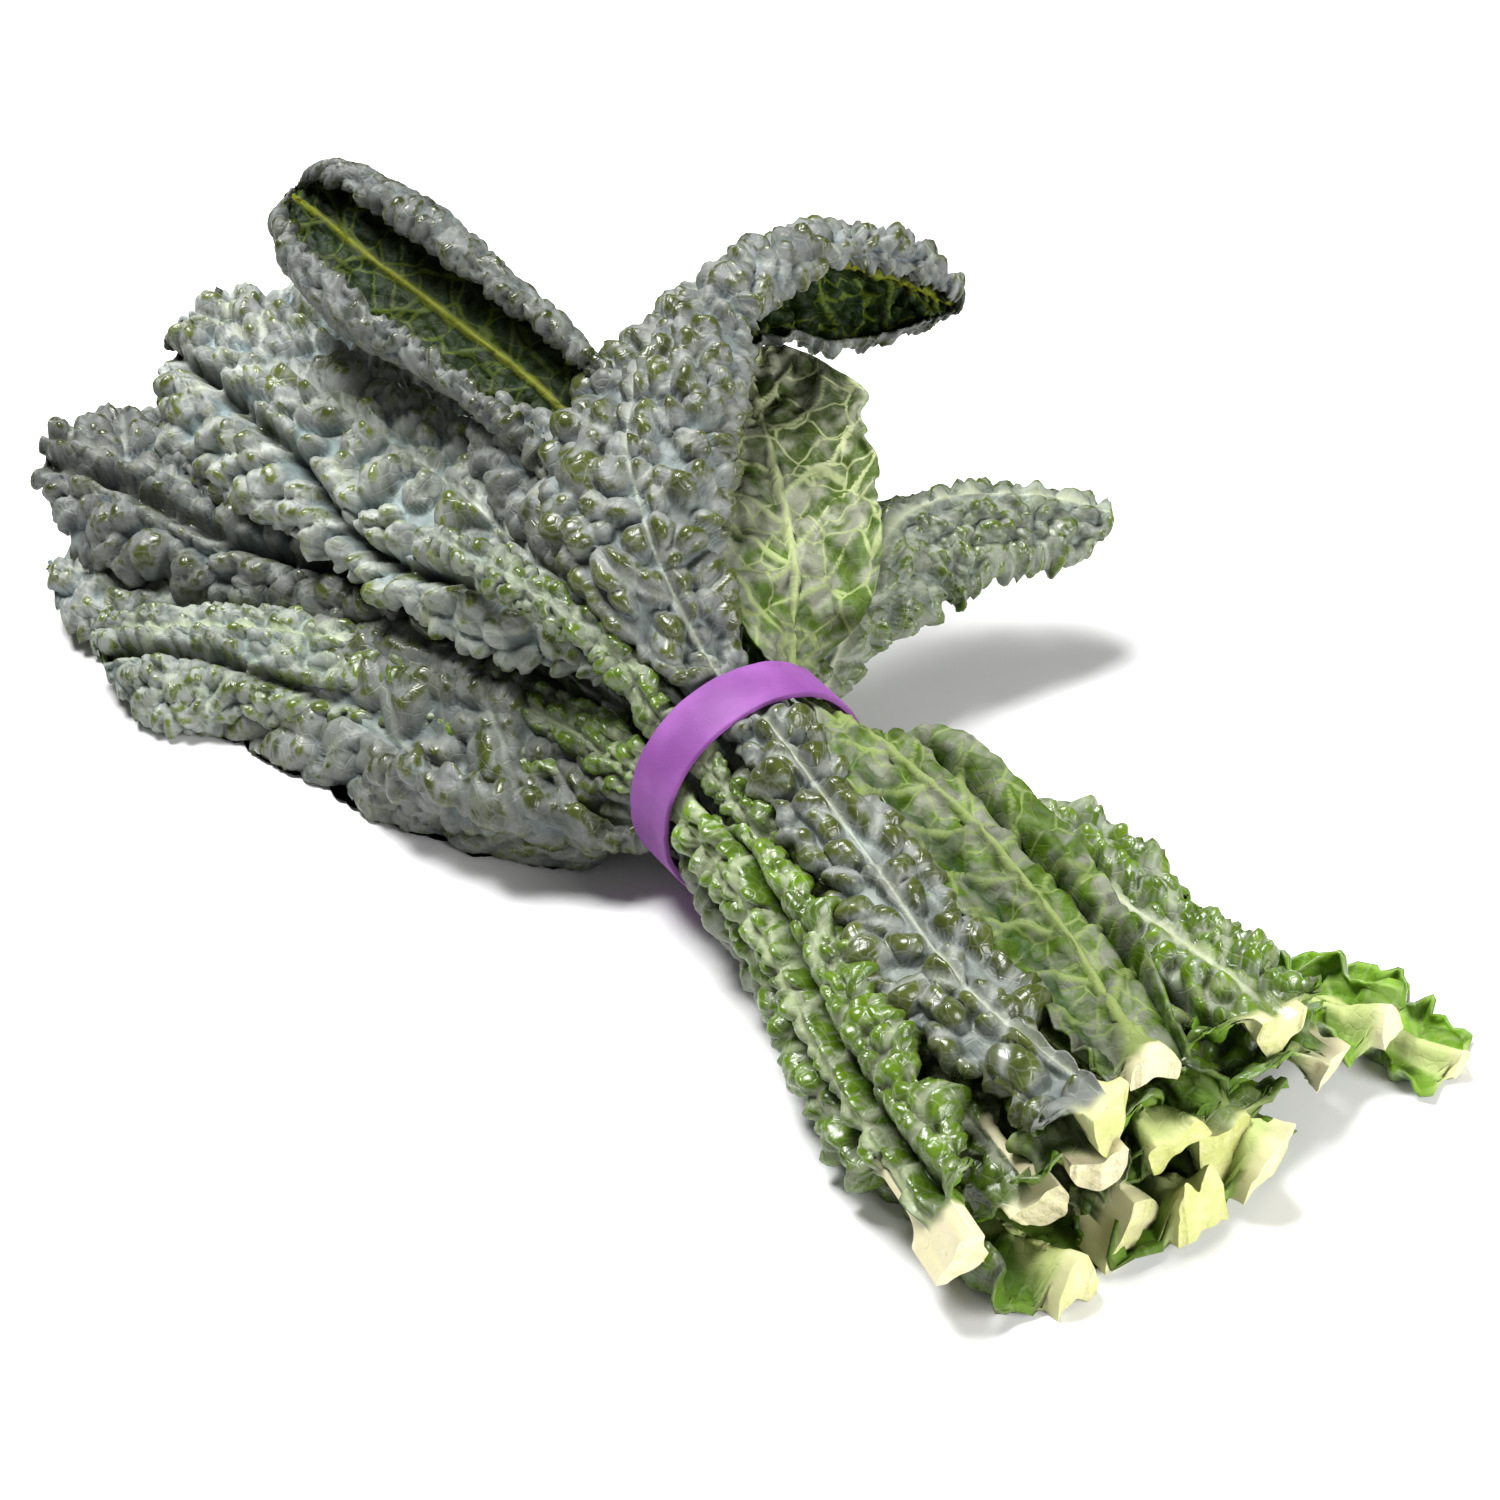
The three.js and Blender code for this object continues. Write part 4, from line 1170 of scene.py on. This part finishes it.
LEAVES: tuple[LeafPlan, ...] = (
    LeafPlan(
        name="leaf_arched", kind=Kind.BLUE, seed=1, waist=(95, 21.6, 95, 10, 24), step=0.78, light=0.63,
        curl_from=0.25, curl_power=1.3, stem=5.6, bare=(2.5, 24.0), pith=0.2,
        blisters=Blisters(
            along=5.4, across=4.8, height=4.0, knobby=Trend(0.4, 0.5, 0.9), small=3.0, small_height=2.1,
            rib_width=0.7, rib_show=0.25, plain=Trend(0.15, 0.12, 0.03), polish=Trend(0.50, 0.48, 0.20),
            green=Trend(0.15, 0.05, 0.0), lines=Trend(0.75, 0.7, 0.0), finer=Trend(1.25, 1.15, 0.62),
        ),
        stem_side=(
            (124, -3, 35, 92, 0, 13, 15, 60, 50),
            (84, -6, 34, 94, 0, 15, 8, 75, 75),
            (42, -3, 40, 95, 0, 14, 8, 70, 70),
        ),
        tip_side=(
            (-22, -4, 60, 105, 25, 17, 5, 70, 70),
            (-34, -3, 70, 110, 20, 25, 5, 95, 105),
            (-53, 5, 80, 113, 0, 30, 5, 110, 130),
            (-74, 30, 88, 105, -40, 28, 5, 120, 180),
            (-79, 59, 88, 92, -64, 25, 5, 120, 205),
            (-76, 81, 79, 90, -70, 23, 5, 120, 210),
            (-69, 98, 68, 90, -72, 17, 5, 120, 180),
        ),
    ),
    LeafPlan(
        name="leaf_narrow", kind=Kind.GREEN, seed=2, waist=(135, 21.6, 135, 4.3, 12), step=0.7,
        light=0.76, stem=5.6, bare=(4.0, 20.0), pith=0.9, grooves=((6.5, 3.5, 1.2, 2.0),),
        blisters=Blisters(
            along=3.2, across=2.8, height=1.9, edge_size=3.4, edge_height=1.9, small=1.8,
            small_height=0.8, rib_width=0.6, rib_show=0.05, plain=Trend(0.1, 0.1, 0.05),
            polish=Trend(0.72, 0.6, 0.25), green=Trend(1.0, 1.0, 0.1), lines=Trend(0.55, 0.4, 0.15),
            lit=Trend(0.85, 1.05, 1.0),
        ),
        stem_side=(
            (122, -18, 17, 128, 0, 9, 15, 50, 50),
            (84, -15, 20, 128, 0, 10, 10, 60, 60),
            (44, -14, 30, 130, 0, 8, 10, 50, 50),
        ),
        tip_side=(
            (-24, -18, 51, 122, 10, 6.5, 10, 90, 90),
            (-42, -25, 57, 118, 5, 7.5, 10, 120, 120),
            (-59, -30, 58, 116, 0, 7.5, 10, 120, 120),
            (-71, -32, 57, 116, 0, 6, 10, 120, 120),
        ),
    ),
    LeafPlan(
        name="leaf_green_left", kind=Kind.GREEN, seed=3, waist=(167, 21.6, 167, 7.4, 18), step=0.8,
        light=1.22, stem=6.6, bare=(26.0, 9.0), pith=0.95,
        grooves=((-9.0, 6.5, 1.6, 5.0), (7.5, 6.5, 1.6, 5.0)),
        blisters=Blisters(
            along=3.7, across=3.2, height=2.4, edge_size=3.2, small=2.0, small_height=1.0,
            rib_width=0.7, rib_show=0.5, plain=Trend(0.15, 0.12, 0.05), polish=Trend(0.65, 0.65, 0.22),
            green=Trend(1.0, 1.0, -0.4), lines=Trend(0.7, 0.6, 0.1), lit=Trend(0.60, 1.0, 0.66),
        ),
        stem_side=(
            (126, -39, 17, 150, 0, 13, 15, 60, 60),
            (80, -33, 21, 152, 0, 18, 10, 55, 60),
            (42, -25, 27, 158, 0, 15, 10, 50, 60),
        ),
        tip_side=(
            (-32, -22, 26, 130, 0, 13, 5, 60, 50),
            (-59, -29, 24, 118, 0, 20, 5, 90, 50),
            (-87, -42, 22, 114, 0, 24, 5, 100, 60),
            (-109, -57, 19, 112, 0, 26, 5, 85, 65),
            (-125, -72, 15, 112, 0, 26, 5, 75, 70),
            (-134, -82, 12, 112, 0, 24, 5, 70, 70),
        ),
    ),
    LeafPlan(
        name="leaf_broad", kind=Kind.BLUE, seed=4, waist=(112, 11.5, 110, 5.2, 20), step=0.82,
        light=1.08, inner=True, stem=5.2, pith=1.0,
        grooves=((10.0, 7.0, 1.8, 8.0), (-14.0, 7.0, 1.8, 8.0)),
        blisters=Blisters(
            along=7.4, across=6.6, height=4.7, rim_from=0.72, small=3.8, small_height=2.3,
            frill=RUFFLED, rib_width=0.7, rib_show=0.1, finer=Trend(1.0, 1.05, 0.75),
        ),
        stem_side=(
            (127, -7, 26, 100, 0, 18, 10, 60, 60),
            (85, -3, 25, 100, 0, 6, 10, 20, 20),
            (42, -4, 30, 105, 0, 6, 10, 20, 20),
        ),
        tip_side=(
            (-35, -7, 44, 112, 10, 15, 5, 40, 50),
            (-58, -14, 50, 110, 5, 25, 5, 50, 80),
            (-95, -18, 53, 110, 0, 32, 5, 60, 90),
            (-130, -23, 53, 110, -3, 35, 5, 65, 95),
            (-160, -26, 52, 110, -6, 37, 5, 70, 85),
            (-184, -29, 49, 110, -10, 34, 5, 70, 80),
        ),
    ),
    LeafPlan(
        name="leaf_cupped", kind=Kind.BLUE, seed=5, waist=(58, 11, -60, 5, 15), step=0.8, light=0.43,
        inner=True, curl_from=0.34, curl_power=1.1, stem=6.4, deep=10.0, bare=(2.0, 2.0), pith=0.1,
        rib=(2.2, 3.5),
        blisters=Blisters(
            along=4.0, across=3.6, height=2.8, edge_size=2.6, edge_height=2.3, small=1.9,
            small_height=1.5, frill=SMOOTH, middle=0.35, rib_width=2.4,
        ),
        stem_side=(
            (127, 12, 17, -60, 0, 18, 10, 60, 60),
            (85, 7.5, 20, -60, 0, 7, 10, 20, 20),
            (42, 7, 30, -60, 0, 6, 10, 20, 20),
        ),
        tip_side=(
            (-39, 9, 50, -58, -8, 11, 5, 60, 60),
            (-76, 6, 67, -56, -11, 22, 5, 160, 160),
            (-108, -2, 76, -55, -11, 30, 5, 225, 225),
            (-132, -9, 82, -55, -11, 32, 5, 240, 240),
            (-150, -12, 85, -55, -11, 31, 5, 240, 240),
            (-160, -14, 86, -55, -11, 27, 5, 240, 240),
        ),
    ),
    LeafPlan(
        name="leaf_pale", kind=Kind.PALE, seed=6, waist=(43, 20.4, -137, 7, -18), step=0.8, light=1.02,
        hem=0.0, stem=5.0, bare=(3.0, 3.0), pith=0.95, rib=(1.0, 1.5),
        grooves=((7.6, -1.8, 2.8, 1.0), (-7.5, -6.0, 1.6, 3.0)), grooved_to=118.0,
        blisters=Blisters(
            along=6.2, across=5.2, height=2.2, bulge=0.1, knobby=Trend(0.3, 0.3, 0.6), edge_size=4.6,
            edge_height=1.1, small_height=0.8, vein_spacing=14.0, frill=Trend(2.0, 0.7, 0.7), wave=1.0,
            rib_width=0.55, plain=Trend(0.1, 0.1, 0.05), polish=Trend(0.6, 0.6, 0.4),
            green=Trend(1.0, 1.0, 0.0), lines=Trend(0.5, 0.5, 0.4), lit=Trend(0.74, 0.85, 1.18),
            thread=0.0, raised=0.3,
        ),
        stem_side=(
            (121, 9, 31, -95, 0, 9, 5, 20, 20),
            (84, 18.5, 32, -84, 0, 13, 0, 5, 5),
            (50, 20.5, 37, -84, 0, 15, 0, 0, 0),
            (24, 17, 41, -90, 0, 13, 0, 10, 10),
        ),
        tip_side=(
            (-20, 24, 54, -90, -6, 17, 0, 30, 30),
            (-40, 34, 58, -86, -6, 20, 0, 45, 45),
            (-60, 42, 63, -85, -6, 22, 0, 50, 50),
            (-79, 50, 68, -85, -6, 19, 0, 50, 50),
        ),
    ),
    LeafPlan(
        name="leaf_drooping", kind=Kind.BLUE, seed=7, waist=(0, 21.6, 0, 7.8, 18), step=0.85,
        light=0.77, tip=11.0, bare=(3.0, 3.0), pith=0.4,
        grooves=((-10.0, 7.0, 1.5, 3.0), (4.5, 6.0, 1.4, 2.0), (12.0, 7.0, 1.6, 3.0)), grooved_to=115.0,
        blisters=Blisters(
            along=3.8, across=3.3, height=3.2, edge_size=3.2, small=2.1, small_height=1.2, rib_show=0.5,
            polish=Trend(0.55, 0.4, 0.3), green=Trend(1.0, 0.5, 0.3), lines=Trend(0.6, 0.7, 0.5),
        ),
        stem_side=(
            (118, 42, 30, 85, 0, 15, 10, 30, 30),
            (80, 39, 28, 95, 0, 20, 8, 50, 50),
            (42, 32, 29, 95, 0, 18, 8, 40, 40),
        ),
        tip_side=(
            (-22, 38, 33, 60, 30, 14, 30, 40, 15),
            (-28, 48, 39, 95, 26, 20, 38, 40, 15),
            (-37, 60, 43, 98, 10, 22, 38, 40, 20),
            (-39, 73, 44, 88, 3, 22, 38, 40, 20),
            (-37, 88, 41, 78, 6, 18, 38, 40, 20),
            (-33, 101, 37, 72, 10, 16, 38, 40, 20),
            (-28, 112, 32, 70, 12, 13.5, 35, 40, 20),
        ),
    ),
    LeafPlan(
        name="leaf_outer_left", kind=Kind.BLUE, seed=8, waist=(160, 12, 155, 5.2, 20), step=0.86,
        light=0.52, inner=True, stem=7.2, deep=11.0, bare=(14.0, 6.0), grooves=((-7.0, 7.0, 1.8, 4.0),),
        blisters=Blisters(
            along=6.2, across=5.4, height=4.0, rim_from=0.7, frill=RUFFLED, rib_width=0.9,
        ),
        stem_side=(
            (131, -5, 8, 150, 0, 19, 10, 60, 20),
            (85, -8, 13, 150, 0, 8, 10, 20, 20),
            (42, -8, 20, 155, 0, 7, 10, 20, 20),
        ),
        tip_side=(
            (-38, -13, 30, 130, 5, 11, 5, 30, 30),
            (-75, -19, 31, 112, 3, 17, 5, 40, 40),
            (-111, -30, 31, 108, 0, 21, 5, 60, 60),
            (-140, -45, 31, 108, -3, 26, 5, 80, 70),
            (-163, -57, 31, 108, -6, 28, 5, 80, 70),
            (-182, -68, 30, 108, -8, 26, 5, 80, 70),
        ),
    ),
    LeafPlan(
        name="leaf_small_blue", kind=Kind.BLUE, seed=9, waist=(10, 11, 60, 5.2, 20), light=0.66,
        inner=True, stem=6.4, deep=11.0, bare=(2.0, 2.0), pith=0.1,
        blisters=Blisters(
            along=4.6, across=4.2, height=2.5, small=2.2, small_height=0.8, frill=RUFFLED,
            polish=Trend(0.5, 0.15, 0.03), green=Trend(1.0, 0.1, 0.0),
        ),
        stem_side=(
            (126, 23, 18, 80, 0, 22, 10, 60, 0),
            (85, 19, 20, 80, 0, 8, 10, 20, 20),
            (42, 10, 24, 80, 0, 6, 10, 20, 20),
        ),
        tip_side=(
            (-42, -1, 53, 108, 20, 11, 5, 60, 60),
            (-62, -6, 62, 112, 10, 16, 5, 80, 80),
            (-82, -6, 66, 114, 0, 17, 5, 90, 90),
            (-98, -3, 68, 114, 0, 14, 5, 90, 90),
        ),
    ),
    LeafPlan(
        name="leaf_low_left", kind=Kind.BLUE, seed=10, waist=(202, 21.6, 202, 5.4, 14), step=1.0,
        light=0.58, stem=5.0, bare=(4.0, 4.0), pith=0.4,
        blisters=Blisters(
            along=9.0, across=7.0, height=3.6, small_height=1.0, plain=Trend(0.05, 0.05, 0.05),
            polish=Trend(0.5, 0.3, 0.18),
        ),
        stem_side=(
            (135, -17, 0, 262, 0, 17, 15, 40, 60),
            (90, -22, 0.5, 258, 0, 9, 10, 20, 20),
            (42, -21, 6, 235, 0, 8, 10, 20, 20),
        ),
        tip_side=(
            (-26, -30, 13, 155, 0, 17, 5, 60, 30),
            (-50, -42, 13, 140, 0, 23, 0, 80, 20),
            (-76, -49, 13, 132, 0, 24, 0, 85, 15),
            (-100, -56, 11, 128, 0, 22, 0, 85, 12),
            (-117, -65, 9, 124, 0, 19, 0, 80, 10),
            (-127, -72, 8, 120, 0, 15, 0, 70, 10),
        ),
    ),
    LeafPlan(
        name="leaf_back_turned", kind=Kind.DARK, seed=11, waist=(-40, 21.6, -40, 6.3, 16), step=1.2,
        stem=5.0, deep=6.5, bare=(3.0, 9.0), pith=1.0,
        blisters=Blisters(
            along=4.6, across=4.0, height=2.2, frill=LOOSE, rib_width=1.4, rib_show=0.6,
            plain=Trend(0.25, 0.2, 0.1), polish=Trend(0.6, 0.6, 0.5), green=Trend(1.0, 1.0, 0.6),
            lines=Trend(0.35, 0.3, 0.2),
        ),
        stem_side=(
            (120, 55, 15, 70, 0, 25, 10, 62, 30),
            (80, 46, 18, 85, 0, 15, 8, 40, 40),
            (42, 36, 15, 70, 0, 13, 8, 40, 40),
        ),
        tip_side=(
            (-50, 26, 15, -60, 0, 13, 5, 30, 30),
            (-100, 30, 24, -78, 0, 18, 5, 40, 40),
            (-145, 22, 29, -82, -3, 21, 5, 50, 50),
            (-175, 13, 32, -82, -6, 22, 5, 50, 50),
            (-196, 7, 33, -82, -6, 20, 5, 50, 50),
        ),
    ),
    LeafPlan(
        name="leaf_back_left", kind=Kind.BLUE, seed=12, waist=(290, 10, -80, 5.2, 10), step=1.4,
        inner=True, stem=5.6, deep=13.0, trough=2.5, bare=(3.0, 3.0), pith=0.6,
        stem_side=(
            (131, 28, 3, -95, 0, 17, 10, 100, 120),
            (85, 20, 2, -90, 0, 9, 10, 20, 20),
            (42, 9, 7, -80, 0, 7, 10, 20, 20),
        ),
        tip_side=(
            (-50, 6, 17, -20, 0, 12, 5, 30, 30),
            (-100, 2, 22, 60, 0, 18, 5, 40, 40),
            (-150, -26, 23, 100, 5, 21, 5, 50, 50),
            (-176, -39, 22, 108, 0, 20, 5, 60, 60),
            (-190, -45, 21, 108, 0, 17, 5, 60, 60),
        ),
    ),
    LeafPlan(
        name="leaf_under_left", kind=Kind.BLUE, seed=13, waist=(-103, 21.6, -103, 4.8, 12), step=1.4,
        stem=4.4, deep=6.0, bare=(3.0, 3.0), pith=1.0,
        blisters=Blisters(
            along=4.6, across=4.0, height=2.4, frill=LOOSE, polish=Trend(0.6, 0.5, 0.2),
            green=Trend(1.0, 0.6, 0.0),
        ),
        stem_side=(
            (118, 71, 10, -80, 0, 13, 10, 70, 80),
            (80, 53, 5, -88, 0, 9, 5, 15, 15),
            (42, 23, 4, -95, 0, 8, 5, 10, 10),
        ),
        tip_side=(
            (-50, -10, 5, -20, 0, 11, 5, 10, 10),
            (-95, -26, 8, 60, 0, 16, 5, 30, 30),
            (-135, -58, 12, 105, 0, 21, 5, 60, 60),
            (-152, -72, 13, 110, 0, 21, 5, 70, 70),
            (-161, -80, 13, 110, 0, 18, 5, 70, 70),
        ),
    ),
    LeafPlan(
        name="leaf_flat_under", kind=Kind.DARK, seed=14, waist=(-74, 21.6, -74, 5.4, 12), step=1.2,
        stem=2.2, deep=4.0, bare=(1.0, 1.0), pith=0.6,
        blisters=Blisters(
            along=4.6, across=4.0, height=2.4, frill=LOOSE, polish=Trend(0.6, 0.5, 0.4),
            green=Trend(1, 1, 0.3),
        ),
        stem_side=(
            (125, 82, 0.5, -90, 0, 11, 5, 25, 25),
            (84, 67, 0.5, -90, 0, 8, 0, 5, 5),
            (42, 38, 0.5, -92, 0, 8, 0, 5, 5),
        ),
        tip_side=(
            (-50, 13, 1, -90, 0, 11, 0, 5, 5),
            (-90, 22, 0.5, -90, 0, 15, 0, 8, 8),
            (-130, 24, 0, -90, 0, 16, 0, 10, 10),
            (-160, 22, 0, -90, 0, 13, 0, 10, 10),
        ),
    ),
    LeafPlan(
        name="leaf_low_front", kind=Kind.BLUE, seed=15, waist=(231, 21.6, 231, 4.8, 12), step=1.15,
        light=0.56, stem=6.4, deep=11.0, bare=(3.0, 3.0), pith=0.1,
        blisters=Blisters(
            along=6.5, across=6.0, height=2.6, frill=RUFFLED, polish=Trend(0.55, 0.35, 0.25),
        ),
        stem_side=(
            (134, 13, 2, 268, 0, 18, 10, 30, 30),
            (88, 4, 1.5, 268, 0, 8, 8, 15, 15),
            (42, -7, 2, 262, 0, 7, 5, 12, 12),
        ),
        tip_side=(
            (-20, -28, 9, 225, 0, 13, 5, 50, 50),
            (-33, -41, 9, 215, 0, 16, 5, 60, 60),
            (-47, -50, 9, 210, 0, 16, 5, 60, 60),
            (-61, -55, 8, 208, 0, 13, 5, 60, 60),
        ),
    ),
)


# ---------- the band ----------


@dataclass
class RubberBand:
    """A flat rubber ring stretched round the bunch, in millimetres."""

    shift: np.ndarray
    radius: float = 24.0
    width: float = 12.7
    wall: float = 1.3
    soft_edge: float = 0.3
    segments: int = 240
    slices: int = 12

    def build(self) -> Object:
        """Makes the band's mesh.

        Returns:
            The finished object.
        """
        bpy.ops.object.select_all(action="DESELECT")
        bpy.ops.mesh.primitive_cylinder_add(
            vertices=self.segments, radius=self.radius * MM, depth=self.width * MM,
            end_fill_type="NOTHING", rotation=(0.0, math.pi / 2, 0.0),
        )
        piece = bpy.context.object
        piece.name = piece.data.name = "rubber_band_stretched"
        bpy.ops.object.transform_apply(location=False, rotation=True, scale=False)
        bpy.ops.object.mode_set(mode="EDIT")
        bpy.ops.mesh.select_all(action="DESELECT")
        bpy.ops.object.mode_set(mode="OBJECT")
        for edge in piece.data.edges:
            ends = [piece.data.vertices[v].co.x for v in edge.vertices]
            edge.select = abs(ends[0] - ends[1]) > self.width * MM / 2
        bpy.ops.object.mode_set(mode="EDIT")
        bpy.ops.mesh.select_mode(type="EDGE")
        bpy.ops.mesh.subdivide_edgering(number_cuts=self.slices - 1, smoothness=0.0)
        bpy.ops.object.mode_set(mode="OBJECT")
        self._settle(piece.data)
        apply_modifier(piece, "SOLIDIFY", thickness=self.wall * MM, offset=-1.0)
        apply_modifier(piece, "BEVEL", width=self.soft_edge * MM, segments=2, limit_method="ANGLE")
        bpy.ops.object.shade_smooth()
        return piece

    def _settle(self, mesh: Mesh) -> None:
        """Bulges the ring a little, unevenly and more at its edges, as leaves under it would push it, and
        moves it to its place.

        Args:
            mesh: The ring's mesh, centred on the origin.
        """
        place = read_all(mesh.vertices, "co", 3) / MM
        turn = np.arctan2(place[:, 2], place[:, 1])
        around = turn * self.radius
        bulge = 0.30 * wander(around / 9 + 40, place[:, 0] / 9 + 9, 71)
        bulge += 0.12 * wander(around / 3 + 40, place[:, 0] / 3 + 9, 72)
        edge = np.abs(place[:, 0]) / (self.width / 2)
        bulge += 0.25 * edge**4
        place[:, 1:] *= (1 + bulge / self.radius)[:, None]
        place[:, 0] += 0.35 * wander(around / 14 + 40, place[:, 0] * 0 + 2, 73)
        centre = np.array([0.0, 0.0, BAND_CENTRE_HEIGHT])
        mesh.vertices.foreach_set("co", ((place + centre + self.shift) * MM).ravel())
        mesh.update()

    def dress(self, piece: Object, rubber: Material) -> None:
        """Gives the band its material and ties it to its node and body."""
        piece.data.materials.append(rubber)
        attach(piece, BODY)
        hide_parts("rubber_band")


# ---------- floor, lights and camera ----------


LAMP_TARGET = Vector((0.0, 0.0, 0.03))


@dataclass
class Studio:
    """A pale floor under soft light, with the camera above the stem end.

    azimuth and elevation are in degrees and distance in metres. lens is in millimetres, and so
    is aim, which is in the bunch's own frame.
    """

    shift: np.ndarray
    azimuth: float = 57.0
    elevation: float = 38.0
    distance: float = 0.833
    lens: float = 100.0
    aim: tuple[float, float, float] = (0.0, 0.0, 33.0)

    def floor(self) -> None:
        """A wide plain floor, level with the bottom of the bunch."""
        bpy.ops.object.select_all(action="DESELECT")
        bpy.ops.mesh.primitive_plane_add(size=12.0)
        ground = bpy.context.object
        ground.name = "studio_floor"
        g = Graph("studio_floor")
        tint = g.noise(g.place(), 3.0)
        g.feed(g.shader.inputs["Base Color"], g.mix(tint, (0.83, 0.83, 0.83), (0.85, 0.85, 0.85)))
        g.shader.inputs["Roughness"].default_value = 0.9
        ground.data.materials.append(g.material)

    def lights(self) -> None:
        """A large soft lamp, a small one for highlights, two that fill shadows and an even surround."""
        world = bpy.context.scene.world or bpy.data.worlds.new("surround")
        bpy.context.scene.world = world
        world.use_nodes = True
        sky = world.node_tree.nodes["Background"]
        sky.inputs["Color"].default_value = (1.0, 1.0, 1.0, 1.0)
        sky.inputs["Strength"].default_value = 0.048
        for name, place, size, power in (
            ("key", (-0.40, -0.08, 1.15), 0.55, 28.8),
            ("spark", (-0.30, -0.35, 1.10), 0.18, 4.0),
            ("fill", (0.9, -0.7, 0.7), 1.2, 1.2),
            ("ends", (0.75, 0.20, 0.30), 0.4, 7.6),
        ):
            bpy.ops.object.light_add(type="AREA", location=place)
            lamp = bpy.context.object
            lamp.name = f"lamp_{name}"
            lamp.data.size = size
            lamp.data.energy = power
            towards = LAMP_TARGET - Vector(place)
            lamp.rotation_euler = towards.to_track_quat("-Z", "Y").to_euler()

    def camera(self) -> None:
        """The camera, looking down over the cut stems."""
        turn, rise = math.radians(self.azimuth), math.radians(self.elevation)
        back = Vector((
            math.sin(turn) * math.cos(rise), -math.cos(turn) * math.cos(rise), math.sin(rise),
        ))
        target = Vector((np.array(self.aim) + self.shift) * MM)
        bpy.ops.object.camera_add(location=target + back * self.distance)
        camera = bpy.context.object
        camera.name = "studio_camera"
        camera.rotation_euler = (-back).to_track_quat("-Z", "Y").to_euler()
        camera.data.lens = self.lens
        camera.data.sensor_width = 36.0
        camera.data.clip_start = 0.05
        bpy.context.scene.camera = camera
        bpy.context.scene.view_settings.view_transform = "Standard"


def bunch_shift() -> np.ndarray:
    """Where the bunch's own frame, centred on the band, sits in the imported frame, in mm."""
    low, high = (np.array(corner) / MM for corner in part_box("rubber_band"))
    return (low + high) / 2 - np.array([0.0, 0.0, BAND_CENTRE_HEIGHT])


def main() -> None:
    """Builds the bunch, the floor, the lights and the camera, and notes the sizes."""
    logging.basicConfig(level=logging.INFO, format="%(name)s: %(message)s")
    shift = bunch_shift()
    blades = {kind: BladeFinish(palette).make() for kind, palette in PALETTES.items()}
    cut = CutFinish().make()
    for plan in LEAVES:
        leaf = Leaf(plan, shift)
        piece = leaf.build()
        leaf.dress(piece, blades[plan.kind], cut)
        LOG.info("%s: %d faces", piece.name, len(piece.data.polygons))
    band = RubberBand(shift)
    ring = band.build()
    band.dress(ring, RubberFinish().make())
    LOG.info("%s: %d faces", ring.name, len(ring.data.polygons))
    studio = Studio(shift)
    studio.floor()
    studio.lights()
    studio.camera()


if __name__ == "__main__":
    main()
